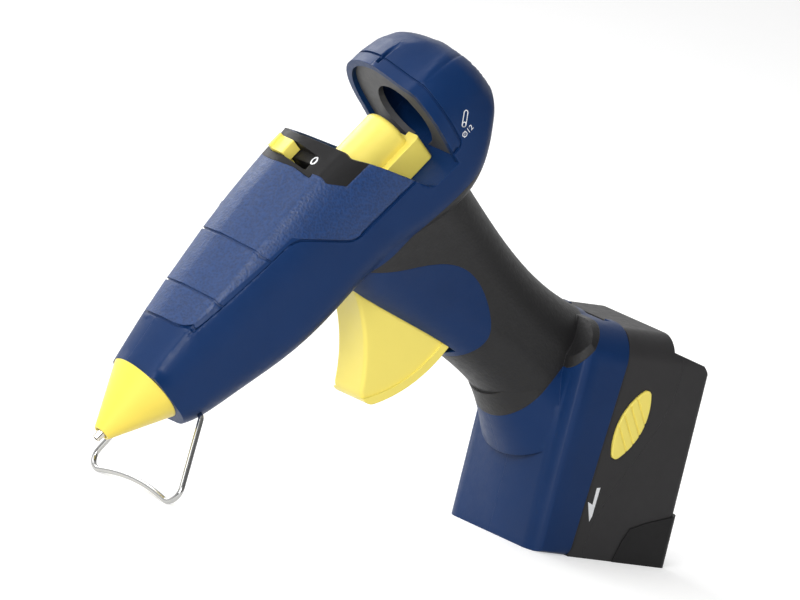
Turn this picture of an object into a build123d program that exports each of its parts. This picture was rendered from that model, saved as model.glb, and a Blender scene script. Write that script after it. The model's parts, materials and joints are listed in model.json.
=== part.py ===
"""Battery glue gun for 12 mm sticks, standing on its battery and its wire stand.

Table axes: Z is up from the table, the battery's resting face is centred on the origin, +X points away
from the nozzle and the left side of the gun faces -Y. Gun axes: distances are taken rearward from the
nozzle tip along the barrel and heights are taken up from the barrel axis. Sizes are in millimetres and
degrees.
"""

import os
from math import cos, radians, sin, tan

from build123d import *

os.makedirs("parts", exist_ok=True)

# How the gun stands
BARREL_TILT = 52.5
TIP_REACH = 230.5
TIP_HEIGHT = 16.4

# Fits
SEAT_GAP = 0.1
RUN_GAP = 0.4
PIN_GAP = 0.05
SIDE_GAP = 0.7

# Springs are drawn with straight pieces
COIL_STEPS = 10
COIL_SIDES = 6

# Moulded walls
WALL = 3.0
RUBBER = 1.5
GROOVE_WIDTH = 1.0
GROOVE_DEPTH = 0.8

# Grooves: the border of the upper side panel, three slanted lines over the crown, and the hood's rim band
BORDER_AT = 48.5
BORDER_HEIGHT = 14.0
BORDER_BEND_AT = 100.0
BORDER_DROP_AT = 118.0
BORDER_LOW = -5.2
BORDER_CORNER = 4.0
BORDER_BEND = 9.0
SECOND_GROOVE_AT = 63.9
THIRD_GROOVE_AT = 88.3
GROOVE_SLANT = 18.0
BAND_WIDTH = 5.0
BAND_LOW = -8.0
BAND_CORNER = 3.0
HOOD_SLOT_AT = 173.0
HOOD_SLOT_LENGTH = 14.0
HOOD_SLOT_WIDTH = 1.8
HOOD_SLOT_OFFSET = 1.5
HOOD_SLOT_FLOOR = 25.2

# Barrel, from the nose to the rear rim beside the window
NOSE_AT = 27.0
NOSE_HALF_WIDTH = 16.2
NOSE_TOP = 14.8
NOSE_BOTTOM = 17.4
REAR_AT = 133.0
REAR_HALF_WIDTH = 26.0
REAR_TOP = 29.0
REAR_BOTTOM = 26.5
BELLY_RADIUS = 11.0
CROWN_SWELL = 1.7
BELLY_SWELL = 4.0
NOSE_FULLNESS = 0.71
REAR_FULLNESS = 0.755

# Rear hood and its tail
HOOD_AT = 171.0
HOOD_HALF_WIDTH = 28.0
HOOD_TOP = 27.6
HOOD_BOTTOM = 29.0
TAIL_AT = 198.5
TAIL_HALF_WIDTH = 23.5
TAIL_TOP = 17.0
TAIL_BOTTOM = 12.5
TAIL_BULGE = 2.5

# Window between barrel and hood
WINDOW_FLOOR = -13.0
WINDOW_CORNER_AT = 154.0
WINDOW_ROUND = 4.0
HOOD_LEAN = 5.0
FLOOR_WEB = 2.5

# Grip, by depth below the barrel axis
GRIP_ROOT_AT = 42.0
GRIP_ROOT_FRONT = 112.0
GRIP_ROOT_REAR = 173.0
GRIP_ROOT_HALF_WIDTH = 20.5
GRIP_WAIST_AT = 70.0
GRIP_WAIST_FRONT = 122.0
GRIP_WAIST_REAR = 172.5
GRIP_WAIST_HALF_WIDTH = 18.5
GRIP_END_AT = 128.0
GRIP_END_FRONT = 131.0
GRIP_END_REAR = 187.0
GRIP_END_HALF_WIDTH = 20.0
GRIP_BLEND_AT = 15.0
GRIP_BLEND_LEAD = 7.0
GRIP_BLEND_INSET = 0.4
GRIP_ROUNDNESS = 0.97

# Rubber on the grip: its tip and upper border, and the bare panel that it leaves over the trigger
GRIP_TIP_AT = 117.0
GRIP_BORDER = 23.5
PANEL_HIP_AT = 128.0
PANEL_HIP_DEPTH = 33.0
PANEL_BACK_AT = 143.0
PANEL_BACK_DEPTH = 46.0
PANEL_REAR_AT = 147.5
PANEL_REAR_DEPTH = 75.0
PANEL_HEEL_AT = 142.0
PANEL_HEEL_DEPTH = 84.0
PANEL_FOOT_AT = 126.0
PANEL_FOOT_DEPTH = 87.0
RUBBER_OVERSHOOT = 14.0
RUBBER_END_DEPTH = 123.6
RUBBER_END_RISE = 11.5

# Collar that flares from the grip into the base
FLARE_AT = 112.0
FLARE_LENGTH = 26.0
FLARE_FRONT = 131.0
FLARE_FRONT_SPREAD = 7.0
FLARE_REAR = 181.0
FLARE_REAR_SPREAD = 17.0
FLARE_HALF_WIDTH = 17.0
FLARE_SPREAD = 12.5
FLARE_CURVE = 1.3

# Base block over the battery
BASE_LENGTH = 88.0
BASE_SHOULDER = 41.0
BASE_HALF_WIDTH = 30.0
BASE_ROUND = 9.0
BASE_REAR_ROUND = 14.0
BASE_FRONT_ROUND = 4.0
BASE_SLOPE = 14.0
SEAM_FRONT = 25.0
SEAM_TILT = 4.0

# Battery pack
BATTERY_BOTTOM = 21.0
BATTERY_HALF_WIDTH = 29.0
BATTERY_REAR = 78.0
BATTERY_EDGE = 3.0
BATTERY_TOP_REAR = 87.0
BATTERY_STEP = 2.5
BATTERY_STEP_RISE = 3.5
BATTERY_HEEL = 4.0
BATTERY_REAR_ROUND = 10.0
BATTERY_WALL = 2.6
SEAM_GAP = 0.3
PARTING_KNEE_Z = 53.0
PARTING_BEND_X = 12.0
PARTING_BEND_Z = 25.5
PARTING_FRONT_X = 18.0
TONGUE_NECK = 24.0
TONGUE_HEAD = 32.0
TONGUE_NECK_HEIGHT = 3.0
TONGUE_HEAD_HEIGHT = 3.2
TONGUE_START = 22.0
CELL_DIAMETER = 18.4
CELL_LENGTH = 65.0
CELL_PITCH = 19.4
CELL_DEPTH = 9.0
CELL_FRONT = 6.0
FOOT_PROUD = 1.0
FOOT_THICKNESS = 1.4
FOOT_LENGTH = 20.5
FOOT_DEPTH = 25.0
FOOT_MIDDLE_LENGTH = 16.4
FOOT_CORNER_LENGTH = 13.3
FOOT_CORNER_DEPTH = 20.0
FOOT_LIP_LENGTH = 8.2
FOOT_LIP_DEPTH = 22.5
BLADE_THICKNESS = 0.8
BLADE_HEIGHT = 2.0
BLADE_INSET = 0.6
BLADE_SPREAD = 7.0
BLADE_ROOT = 5.0
BLADE_REACH = 9.0
CLIP_WALL = 0.6

# Release buttons in the battery's sides
BUTTON_LENGTH = 31.0
BUTTON_WIDTH = 11.5
BUTTON_MIDDLE_X = -10.5
BUTTON_MIDDLE_Z = 52.5
BUTTON_LEAN = 18.0
BUTTON_TIP = 2.0
BUTTON_THICKNESS = 5.0
BUTTON_PROUD = 0.8
BUTTON_TRAVEL = 2.5
BUTTON_FLANGE = 0.9
BUTTON_FLANGE_THICKNESS = 1.2
BUTTON_GROOVES = 4
BUTTON_GROOVE_PITCH = 4.6
BUTTON_GROOVE_WIDTH = 0.8
BUTTON_GROOVE_DEPTH = 0.5
BUTTON_GROOVE_TURN = 38.0
RELEASE_SPRING_LENGTH = 4.2
RELEASE_SPRING_RADIUS = 2.5
RELEASE_SPRING_WIRE = 0.6
RELEASE_SPRING_TURNS = 2.5
RIB_THICKNESS = 1.2

# Nozzle and heated chamber
TIP_RADIUS = 1.5
TIP_LENGTH = 7.0
TIP_ROOT_RADIUS = 2.4
TIP_SHOULDER_AT = 11.0
NOZZLE_RADIUS = 5.0
NOZZLE_SHOULDER = 29.0
THREAD_RADIUS = 4.2
THREAD_LENGTH = 9.0
ORIFICE_RADIUS = 0.9
VALVE_RADIUS = 2.9
VALVE_START = 12.5
VALVE_END = 27.0
THROAT_RADIUS = 1.6
BALL_RADIUS = 2.4
VALVE_SPRING_WIRE = 0.5
VALVE_SPRING_RADIUS = 2.1
VALVE_SPRING_TURNS = 5.0
CONE_START = 3.0
CONE_FRONT_RADIUS = 3.4
CONE_RADIUS = 15.0
CHAMBER_START = 31.0
CHAMBER_END = 86.0
CHAMBER_RADIUS = 9.0
STICK_DIAMETER = 12.0
BORE_CLEARANCE = 0.5
MOUNT_RADIUS = 11.8
MOUNT_WIDTH = 5.0
MOUNT_LIP = 0.5
FRONT_MOUNT_AT = 41.0
REAR_MOUNT_AT = 78.0
HEATER_LENGTH = 30.0
HEATER_WIDTH = 12.0
HEATER_THICKNESS = 2.6
HEATER_SEAT = 8.0
INLET_LENGTH = 11.0
INLET_OVERLAP = 4.0
INLET_WALL = 1.6

# Feed carriage
CARRIAGE_START = 112.5
CARRIAGE_END = 162.5
CARRIAGE_RADIUS = 10.0
CARRIAGE_ROUND = 2.4
TRUNNION_RADIUS = 2.0
TRUNNION_REACH = 14.2
SHOE_START = 146.0
SHOE_END = 166.0
SHOE_HALF_WIDTH = 13.0
SHOE_TOP = -2.0
GRIPPER_AT = 138.0
GRIPPER_LENGTH = 12.0
GRIPPER_WIDTH = 5.0
GRIPPER_PIN_RADIUS = 1.0
GRIPPER_DEPTH = 9.2
GRIPPER_HUB = 2.6
CLAW_BITE = 0.9
CLAW_TEETH = 3
CLAW_PITCH = 1.6
CLAW_HEIGHT = 2.4
EAR_THICKNESS = 2.4
EAR_BOTTOM = -12.0
SHOE_ROUND = 2.0

# Trigger
PIVOT_AT = 120.0
PIVOT_DEPTH = 25.0
TRIGGER_RADIUS = 56.5
TRIGGER_PULL = 24.0
TRIGGER_FRONT_ANGLE = 233.0
TRIGGER_REAR_ANGLE = 279.0
TRIGGER_WIDTH = 19.4
TRIGGER_RIM_PROUD = 0.7
TRIGGER_HUB_RADIUS = 7.0
TRIGGER_TOE = 5.0
TRIGGER_EDGE_ROUND = 1.5
TRIGGER_RIM = 3.2
FINGER_HOLLOW = 5.6
ARM_INNER = 11.0
ARM_THICKNESS = 3.0
ARM_HALF_WIDTH = 4.6
YOKE_START = 5.5
YOKE_END = 9.5
PIN_RADIUS = 2.0
PIN_HALF_LENGTH = 18.5
PIN_BOSS_RADIUS = 4.6
SPRING_WIRE = 0.8
SPRING_TURNS = 1.5
SPRING_PITCH = 0.95
SPRING_RADIUS = 3.2
SPRING_LEG = 11.0
TRIGGER_SLOT_FRONT = 105.0
TRIGGER_SLOT_REAR = 134.0
TRIGGER_SLOT_TOP = 22.0
TRIGGER_SLOT_BOTTOM = 84.0

# Switch on the barrel
PLATE_START = 119.0
PLATE_LENGTH = 14.0
PLATE_FOOT = 14.0
PLATE_SWEEP = 9.0
KNOB_LENGTH = 6.4
KNOB_WIDTH = 8.0
KNOB_REST = 3.0
KNOB_TRAVEL = 12.0
KNOB_FLOOR = 24.0
TRAY_WALL = 1.5
SWITCH_HEIGHT = 8.0
SWITCH_LENGTH = 10.0
SWITCH_INSET = 0.8
KNOB_EASE = 0.6
KNOB_TOP = 29.6
KNOB_RIDGE = 1.5
KNOB_STEM_LENGTH = 2.0
KNOB_STEM_WIDTH = 4.0
KNOB_STEM_DEPTH = 5.0
KNOB_STEM_LEAD = 1.8

# Liner in the hood and stick guide in the tail
LINER_SET = 2.0
LINER_THICKNESS = 2.5
LINER_HOLE = 14.0
GUIDE_RADIUS = 10.0
GUIDE_FLANGE_RADIUS = 10.9
GUIDE_FLANGE_AT = 193.2
GUIDE_START = 188.0
GUIDE_LEAD = 1.5

# Control board in the grip
BOARD_AT = 158.5
BOARD_DEPTH = 107.0
BOARD_LENGTH = 13.0
BOARD_WIDTH = 26.0
BOARD_THICKNESS = 1.6
BOARD_OFFSET = 4.0
BOARD_POST_INSET = 3.0
CHIP_SIZE = 7.0
CHIP_HEIGHT = 1.6
CAPACITOR_RADIUS = 2.5
CAPACITOR_HEIGHT = 6.0

# Wire stand
WIRE_DIAMETER = 2.2
STAND_PIVOT_AT = 33.0
STAND_PIVOT_DEPTH = 15.5
STAND_PIN_START = 9.0
STAND_SHOULDER = 16.6
STAND_LEAN = 19.5
STAND_SPLAY = 21.0
STAND_ARCH = 9.5
STAND_BEND = 5.0
STAND_SHOULDER_BEND = 2.6
STAND_ARCH_RADIUS = 100.0

# Screws, by distance and height on the gun and by table axes in the base
NOSE_SCREW = (52.0, -16.0)
BARREL_SCREW = (100.0, 19.0)
GRIP_TOP_SCREW = (158.0, -44.0)
GRIP_END_SCREW = (158.0, -96.0)
TAIL_SCREW = (181.0, -16.0)
BASE_FRONT_SCREW = (-33.5, 11.0)
BASE_REAR_SCREW = (-35.5, 76.0)
SCREW_RADIUS = 1.4
SCREW_HEAD_RADIUS = 2.8
SCREW_HEAD = 2.0
SCREW_LENGTH = 16.0
SCREW_SEAT = 9.0
BOSS_RADIUS = 3.6
BATTERY_SCREW_LENGTH = 32.0
BATTERY_SCREW_SPREAD = 23.2
BATTERY_SCREW_FRONT = 30.0
BATTERY_SCREW_REAR = 71.5
BATTERY_SCREW_SINK = 3.0

REARWARD = Vector(cos(radians(BARREL_TILT)), 0, sin(radians(BARREL_TILT)))
UPWARD = Vector(-sin(radians(BARREL_TILT)), 0, cos(radians(BARREL_TILT)))
LEFT = Vector(0, -1, 0)
BEYOND = 80.0
OVERSHOOT = 1.0
BARREL_SHARES = (0, 0.15, 0.35, 0.62, 1)
HOOD_SHARES = (0, 0.6, 1)
FLARE_SHARES = (0, 0.33, 0.62, 1)

gun_side = Plane(origin=(-TIP_REACH, 0, TIP_HEIGHT), x_dir=REARWARD, z_dir=LEFT)
table_side = Plane.XZ


def station(distance):
    """Plane across the barrel, facing rearward, with its y axis up."""
    return Plane(gun_side.from_local_coords(Vector(distance, 0, 0)), x_dir=(0, 1, 0), z_dir=REARWARD)


def level(height):
    """Plane along the barrel, facing up, with its x axis rearward from the nozzle tip."""
    return Plane(gun_side.from_local_coords(Vector(0, height, 0)), x_dir=REARWARD, z_dir=UPWARD)


def seam_x(height):
    """The face between base and battery, at a height over the table."""
    return height * tan(radians(SEAM_TILT)) - SEAM_FRONT


def eased(start, end, share, sharpness):
    return start + (end - start) * (1 - (1 - share) ** sharpness)


# Outer forms: each can be shrunk by an inset, so that walls and skins come from the same shape


def body_section(distance, half_width, top, bottom, fullness, inset):
    half = half_width - inset
    crown = top - inset
    with BuildSketch(station(distance)) as section:
        with BuildLine():
            Spline(
                (half, 0),
                (fullness * half, fullness * crown),
                (0, crown),
                (-fullness * half, fullness * crown),
                (-half, 0),
                tangents=((0, 1), (0, -1)),
            )
            FilletPolyline(
                (-half, 0),
                (-half, inset - bottom),
                (half, inset - bottom),
                (half, 0),
                radius=BELLY_RADIUS - inset,
            )
        make_face()
    return section.sketch


def barrel_section(share, inset):
    start = NOSE_AT + inset
    return body_section(
        start + (REAR_AT - start) * share,
        eased(NOSE_HALF_WIDTH, REAR_HALF_WIDTH, share, CROWN_SWELL),
        eased(NOSE_TOP, REAR_TOP, share, CROWN_SWELL),
        eased(NOSE_BOTTOM, REAR_BOTTOM, share, BELLY_SWELL),
        eased(NOSE_FULLNESS, REAR_FULLNESS, share, CROWN_SWELL),
        inset,
    )


def hood_section(share, inset):
    end = TAIL_AT - inset
    return body_section(
        HOOD_AT + (end - HOOD_AT) * share,
        HOOD_HALF_WIDTH + (TAIL_HALF_WIDTH - HOOD_HALF_WIDTH) * share**TAIL_BULGE,
        HOOD_TOP + (TAIL_TOP - HOOD_TOP) * share**TAIL_BULGE,
        HOOD_BOTTOM + (TAIL_BOTTOM - HOOD_BOTTOM) * share,
        REAR_FULLNESS,
        inset,
    )


def grip_section(depth, front, rear, half_width, inset):
    half = half_width - inset
    with BuildSketch(level(-depth)) as section:
        with Locations(((front + rear) / 2, 0)):
            RectangleRounded(rear - front - 2 * inset, 2 * half, GRIP_ROUNDNESS * half)
    return section.sketch


def base_plan(inset):
    """Plan of the base block, seen along the battery's seam, as a prism."""
    with BuildPart() as prism:
        with BuildSketch(Plane.YZ) as plan:
            with Locations((0, BASE_LENGTH / 2)):
                Rectangle(2 * (BASE_HALF_WIDTH - inset), BASE_LENGTH - 2 * inset)
            fillet(plan.vertices().group_by(Axis.Y)[-1], BASE_REAR_ROUND - inset)
            fillet(plan.vertices().group_by(Axis.Y)[0], BASE_FRONT_ROUND)
        extrude(amount=-BEYOND)
    return prism.part


def base_form(inset, seam_inset):
    """Flared block over the battery, rounded in plan at its rear, where the grip runs into it."""
    with BuildPart() as form:
        with BuildSketch(table_side):
            with BuildLine():
                Polyline(
                    (seam_x(0) - seam_inset, inset),
                    (seam_x(BASE_LENGTH) - seam_inset, BASE_LENGTH - inset),
                    (inset + BASE_SLOPE / 2 - BASE_SHOULDER, BASE_LENGTH - inset),
                    (inset - BASE_SHOULDER, BASE_LENGTH - BASE_SLOPE),
                    (inset - BASE_SHOULDER, inset),
                    close=True,
                )
            make_face()
        extrude(amount=BASE_HALF_WIDTH - inset, both=True)
        fillet(form.edges().filter_by(Axis.Z), BASE_ROUND - inset)
        add(base_plan(inset), mode=Mode.INTERSECT)
    return form.part


def flare_section(share):
    """Section across the collar between grip and base."""
    return grip_section(
        FLARE_AT + FLARE_LENGTH * share,
        FLARE_FRONT - FLARE_FRONT_SPREAD * share**FLARE_CURVE,
        FLARE_REAR + FLARE_REAR_SPREAD * share,
        FLARE_HALF_WIDTH + FLARE_SPREAD * share**FLARE_CURVE,
        0,
    )


def outer_body(inset):
    """Barrel and hood in one sweep."""
    body = [barrel_section(share, inset) for share in BARREL_SHARES]
    body += [hood_section(share, inset) for share in HOOD_SHARES]
    with BuildPart() as form:
        loft(body)
    return form.part


def outer_form(inset, seam_inset=0):
    """The whole gun above the battery."""
    grip = [
        grip_section(
            GRIP_BLEND_AT,
            GRIP_ROOT_FRONT - GRIP_BLEND_LEAD,
            GRIP_ROOT_REAR,
            REAR_HALF_WIDTH - GRIP_BLEND_INSET,
            inset,
        ),
        grip_section(GRIP_ROOT_AT, GRIP_ROOT_FRONT, GRIP_ROOT_REAR, GRIP_ROOT_HALF_WIDTH, inset),
        grip_section(GRIP_WAIST_AT, GRIP_WAIST_FRONT, GRIP_WAIST_REAR, GRIP_WAIST_HALF_WIDTH, inset),
        grip_section(GRIP_END_AT, GRIP_END_FRONT, GRIP_END_REAR, GRIP_END_HALF_WIDTH, inset),
    ]
    with BuildPart() as form:
        add(outer_body(inset))
        loft(grip)
        add(base_form(inset, seam_inset))
    return form.part


def side_prism(plane, points, half_width):
    """Prism through the gun, from a side outline."""
    with BuildPart() as prism:
        with BuildSketch(plane):
            with BuildLine():
                Polyline(*points, close=True)
            make_face()
        extrude(amount=half_width, both=True)
    return prism.part


def barrel_rod(start, end, radius):
    """Round rod on the barrel axis."""
    with BuildPart() as rod:
        with BuildSketch(station(start)):
            Circle(radius)
        extrude(amount=end - start)
    return rod.part


def turned(points):
    """Piece turned about the barrel axis, from its distances and radii."""
    with BuildPart() as piece:
        with BuildSketch(gun_side):
            with BuildLine():
                Polyline(*points, close=True)
            make_face()
        revolve(axis=Axis(gun_side.origin, REARWARD))
    return piece.part


def cross_rods(plane, centres, radius, start, end):
    """Rods across the gun, between two distances left of its middle plane."""
    with BuildPart() as rods:
        with BuildSketch(plane.offset(start)):
            with Locations(*centres):
                Circle(radius)
        extrude(amount=end - start)
    return rods.part


with BuildPart() as flare:
    loft([flare_section(share) for share in FLARE_SHARES])
    add(base_plan(0), mode=Mode.INTERSECT)

with BuildPart() as outer_gun:
    add(outer_form(0))
    add(flare.part)

outer = outer_gun.part
rubber_bed = outer_form(RUBBER)
groove_bed = outer_body(GROOVE_DEPTH)
TONGUE_DEPTH = TONGUE_NECK_HEIGHT + TONGUE_HEAD_HEIGHT + SEAM_GAP
cavity = outer_form(WALL, TONGUE_DEPTH + WALL)

# Places that several pieces share
PIVOT = (PIVOT_AT, -PIVOT_DEPTH)
ARM_SWING = TRIGGER_PULL / 2
TRUNNION_AT = PIVOT_AT + PIVOT_DEPTH * tan(radians(ARM_SWING))
CARRIAGE_TRAVEL = 2 * PIVOT_DEPTH * tan(radians(ARM_SWING))
STICK_BORE = (STICK_DIAMETER + BORE_CLEARANCE) / 2
HUB_HALF_WIDTH = TRIGGER_WIDTH / 2
SPRING_SPACE = SPRING_TURNS * SPRING_PITCH + SPRING_WIRE + RUN_GAP
gun_screws = [NOSE_SCREW, BARREL_SCREW, GRIP_TOP_SCREW, GRIP_END_SCREW, TAIL_SCREW]
base_screws = [BASE_FRONT_SCREW, BASE_REAR_SCREW]

# Rubber grip: behind a line along the barrel, around a bare panel over the trigger, down to the base
with BuildPart() as rubber_cutter:
    with BuildSketch(gun_side):
        with BuildLine():
            border = Polyline(
                (GRIP_END_FRONT - RUBBER_OVERSHOOT, -RUBBER_END_DEPTH),
                (GRIP_END_REAR + RUBBER_OVERSHOOT, RUBBER_END_RISE - RUBBER_END_DEPTH),
                (GRIP_END_REAR + RUBBER_OVERSHOOT, -GRIP_BORDER),
                (GRIP_TIP_AT, -GRIP_BORDER),
            )
            hip = Spline(
                border @ 1,
                (PANEL_HIP_AT, -PANEL_HIP_DEPTH),
                (PANEL_BACK_AT, -PANEL_BACK_DEPTH),
                (PANEL_REAR_AT, -PANEL_REAR_DEPTH),
            )
            heel = Spline(
                hip @ 1,
                (PANEL_HEEL_AT, -PANEL_HEEL_DEPTH),
                (PANEL_FOOT_AT, -PANEL_FOOT_DEPTH),
                tangents=(hip % 1, (-1, 0)),
            )
            Polyline(heel @ 1, (GRIP_END_FRONT - RUBBER_OVERSHOOT, -PANEL_FOOT_DEPTH), border @ 0)
        make_face()
    extrude(amount=BEYOND, both=True)
    add(rubber_bed, mode=Mode.SUBTRACT)

# Outlines that the housing shares with the pieces in it


def window_edge(height):
    """Front edge of the window, slanting from the rear rim of the barrel down to the window's corner."""
    share = (height - WINDOW_FLOOR) / (REAR_TOP - WINDOW_FLOOR)
    return WINDOW_CORNER_AT + (REAR_AT - WINDOW_CORNER_AT) * share


def hood_face(height):
    """Front edge of the hood, leaning forward towards the floor of the window."""
    return HOOD_AT - (HOOD_TOP - height) * tan(radians(HOOD_LEAN))


def box_at(plane, centre, size, height):
    """Block on a plane."""
    with BuildPart() as block:
        with BuildSketch(plane):
            with Locations(centre):
                Rectangle(*size)
        extrude(amount=height)
    return block.part


def coil(base, radius, wire, pitch, turns, leg=0):
    """Coil spring of short straight pieces of wire, with a leg at each end if it has one."""
    count = round(turns * COIL_STEPS)
    angles = [radians(360 * step / COIL_STEPS) for step in range(count + 1)]
    rise = pitch / radians(360)
    points = [Vector(radius * cos(turn), radius * sin(turn), rise * turn) for turn in angles]
    if leg:
        points.insert(0, points[0] + Vector(sin(angles[0]), -cos(angles[0])) * leg)
        points.append(points[-1] + Vector(-sin(angles[-1]), cos(angles[-1])) * leg)
    with BuildPart() as spring:
        with BuildLine() as path:
            Polyline(*[base.from_local_coords(point) for point in points])
        with BuildSketch(Plane(path.line @ 0, z_dir=path.line % 0)):
            RegularPolygon(wire / 2, COIL_SIDES)
        sweep(path=path.line, transition=Transition.RIGHT)
    return spring.part


board_side = BOARD_OFFSET + BOARD_THICKNESS
board_posts = [
    (BOARD_AT - BOARD_WIDTH / 2 + BOARD_POST_INSET, BOARD_LENGTH / 2 - BOARD_POST_INSET - BOARD_DEPTH),
    (BOARD_AT + BOARD_WIDTH / 2 - BOARD_POST_INSET, BOARD_POST_INSET - BOARD_LENGTH / 2 - BOARD_DEPTH),
]
stand_pivot = (STAND_PIVOT_AT, -STAND_PIVOT_DEPTH)
stand_hole = WIRE_DIAMETER / 2 + PIN_GAP
pin_seat_left = HUB_HALF_WIDTH + SPRING_SPACE
pin_seat_right = TRIGGER_WIDTH / 2 + SIDE_GAP

seam_plane = Plane(
    origin=(seam_x(0), 0, 0),
    x_dir=(sin(radians(SEAM_TILT)), 0, cos(radians(SEAM_TILT))),
    z_dir=(-cos(radians(SEAM_TILT)), 0, sin(radians(SEAM_TILT))),
)


def beyond_seam(depth):
    """Everything on the battery's side of a plane at a depth into the base."""
    return box_at(seam_plane.offset(depth), (BASE_LENGTH / 2, 0), (2 * BASE_LENGTH, 2 * BEYOND), -BEYOND)


def tongue(gap, start, end):
    """T-shaped slide on the battery, or with a gap the slot for it in the base."""
    middle = ((start + end) / 2, 0)
    under_seam = SEAM_GAP + BATTERY_WALL / 2
    neck = box_at(
        seam_plane.offset(-under_seam),
        middle,
        (end - start, TONGUE_NECK + 2 * gap),
        under_seam + TONGUE_NECK_HEIGHT,
    )
    head = box_at(
        seam_plane.offset(TONGUE_NECK_HEIGHT - gap),
        middle,
        (end - start, TONGUE_HEAD + 2 * gap),
        TONGUE_HEAD_HEIGHT + 2 * gap,
    )
    with BuildPart() as slide:
        add(neck)
        add(head)
    return slide.part


def blades(gap, start, end):
    """Pair of contact blades along the seam, or with a gap the slots for them."""
    with BuildPart() as pair:
        with BuildSketch(seam_plane.offset(TONGUE_NECK_HEIGHT + BLADE_INSET - gap)):
            with Locations(((start + end) / 2, -BLADE_SPREAD), ((start + end) / 2, BLADE_SPREAD)):
                Rectangle(end - start, BLADE_THICKNESS + 2 * gap)
        extrude(amount=BLADE_HEIGHT + 2 * gap)
    return pair.part


knob_at = PLATE_START + PLATE_LENGTH / 2
knob_far = -KNOB_REST - KNOB_WIDTH / 2
knob_near = KNOB_TRAVEL - KNOB_REST + KNOB_WIDTH / 2


def knob_box(length, end_gap, bottom, top, lead=0):
    """Box across the barrel along the knob's way, longer than the way by a gap at each end."""
    way = (knob_at - lead, -(knob_far + knob_near) / 2)
    return box_at(level(bottom), way, (length, knob_near - knob_far + 2 * end_gap), top - bottom)


plate_foot_height = REAR_TOP - PLATE_FOOT
plate_head_height = REAR_TOP + PLATE_FOOT
plate_zone = side_prism(
    gun_side,
    [
        (PLATE_START - PLATE_SWEEP, plate_head_height),
        (PLATE_START + PLATE_SWEEP, plate_foot_height),
        (window_edge(plate_foot_height), plate_foot_height),
        (window_edge(plate_head_height), plate_head_height),
    ],
    BEYOND,
)
with BuildPart() as plate_cutter:
    add(plate_zone)
    add(rubber_bed, mode=Mode.SUBTRACT)

tray_side = RUN_GAP + TRAY_WALL
stem_inset = (KNOB_WIDTH - KNOB_STEM_WIDTH) / 2
tray_bottom = KNOB_FLOOR - TRAY_WALL - SEAT_GAP
pin_end = PIN_HALF_LENGTH + SEAT_GAP

# Grooves and the slot on top of the hood
slant = tan(radians(GROOVE_SLANT))
groove_top = BEYOND / 2


def slanted(foot):
    """Top and foot of a groove that slants over the crown down to the panel's border."""
    return (foot - (groove_top - BORDER_HEIGHT) * slant, groove_top), (foot, BORDER_HEIGHT)


with BuildPart() as grooves:
    with BuildSketch(gun_side):
        with BuildLine():
            FilletPolyline(
                *slanted(BORDER_AT),
                (BORDER_BEND_AT, BORDER_HEIGHT),
                (BORDER_DROP_AT, BORDER_LOW),
                (WINDOW_CORNER_AT, BORDER_LOW),
                radius=[BORDER_CORNER, BORDER_BEND, BORDER_BEND],
            )
        trace(line_width=GROOVE_WIDTH)
        with BuildLine():
            Polyline(*slanted(SECOND_GROOVE_AT))
        trace(line_width=GROOVE_WIDTH)
        with BuildLine():
            Polyline(*slanted(THIRD_GROOVE_AT))
        trace(line_width=GROOVE_WIDTH)
        with BuildLine():
            FilletPolyline(
                (hood_face(groove_top) + BAND_WIDTH, groove_top),
                (hood_face(BAND_LOW) + BAND_WIDTH, BAND_LOW),
                (hood_face(BAND_LOW) - OVERSHOOT, BAND_LOW),
                radius=BAND_CORNER,
            )
        trace(line_width=GROOVE_WIDTH)
    extrude(amount=BEYOND, both=True)
    add(groove_bed, mode=Mode.SUBTRACT)

hood_slot = box_at(
    level(HOOD_SLOT_FLOOR),
    (HOOD_SLOT_AT + HOOD_SLOT_LENGTH / 2, -HOOD_SLOT_OFFSET),
    (HOOD_SLOT_LENGTH, HOOD_SLOT_WIDTH),
    BEYOND,
)

# Housing: one hollow moulding, cut open, ribbed and then split down the middle
with BuildPart() as window_tool:
    with BuildSketch(gun_side) as window_outline:
        with BuildLine():
            Polyline(
                (WINDOW_CORNER_AT, WINDOW_FLOOR),
                (hood_face(WINDOW_FLOOR), WINDOW_FLOOR),
                (hood_face(BEYOND), BEYOND),
                (window_edge(BEYOND), BEYOND),
                close=True,
            )
        make_face()
        fillet(window_outline.vertices().group_by(Axis.Y)[0].sort_by(Axis.X)[0], WINDOW_ROUND)
    extrude(amount=BEYOND, both=True)

web_start = SHOE_START - CARRIAGE_TRAVEL
floor_web = box_at(
    level(WINDOW_FLOOR),
    ((web_start + TAIL_AT) / 2, 0),
    (TAIL_AT - web_start, BEYOND),
    -FLOOR_WEB,
)
with BuildPart() as bulkheads:
    for mount_at in (FRONT_MOUNT_AT, REAR_MOUNT_AT):
        with BuildSketch(station(mount_at)):
            Circle(BEYOND / 2)
            Circle(MOUNT_RADIUS + SEAT_GAP, mode=Mode.SUBTRACT)
        extrude(amount=WALL / 2, both=True)

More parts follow.
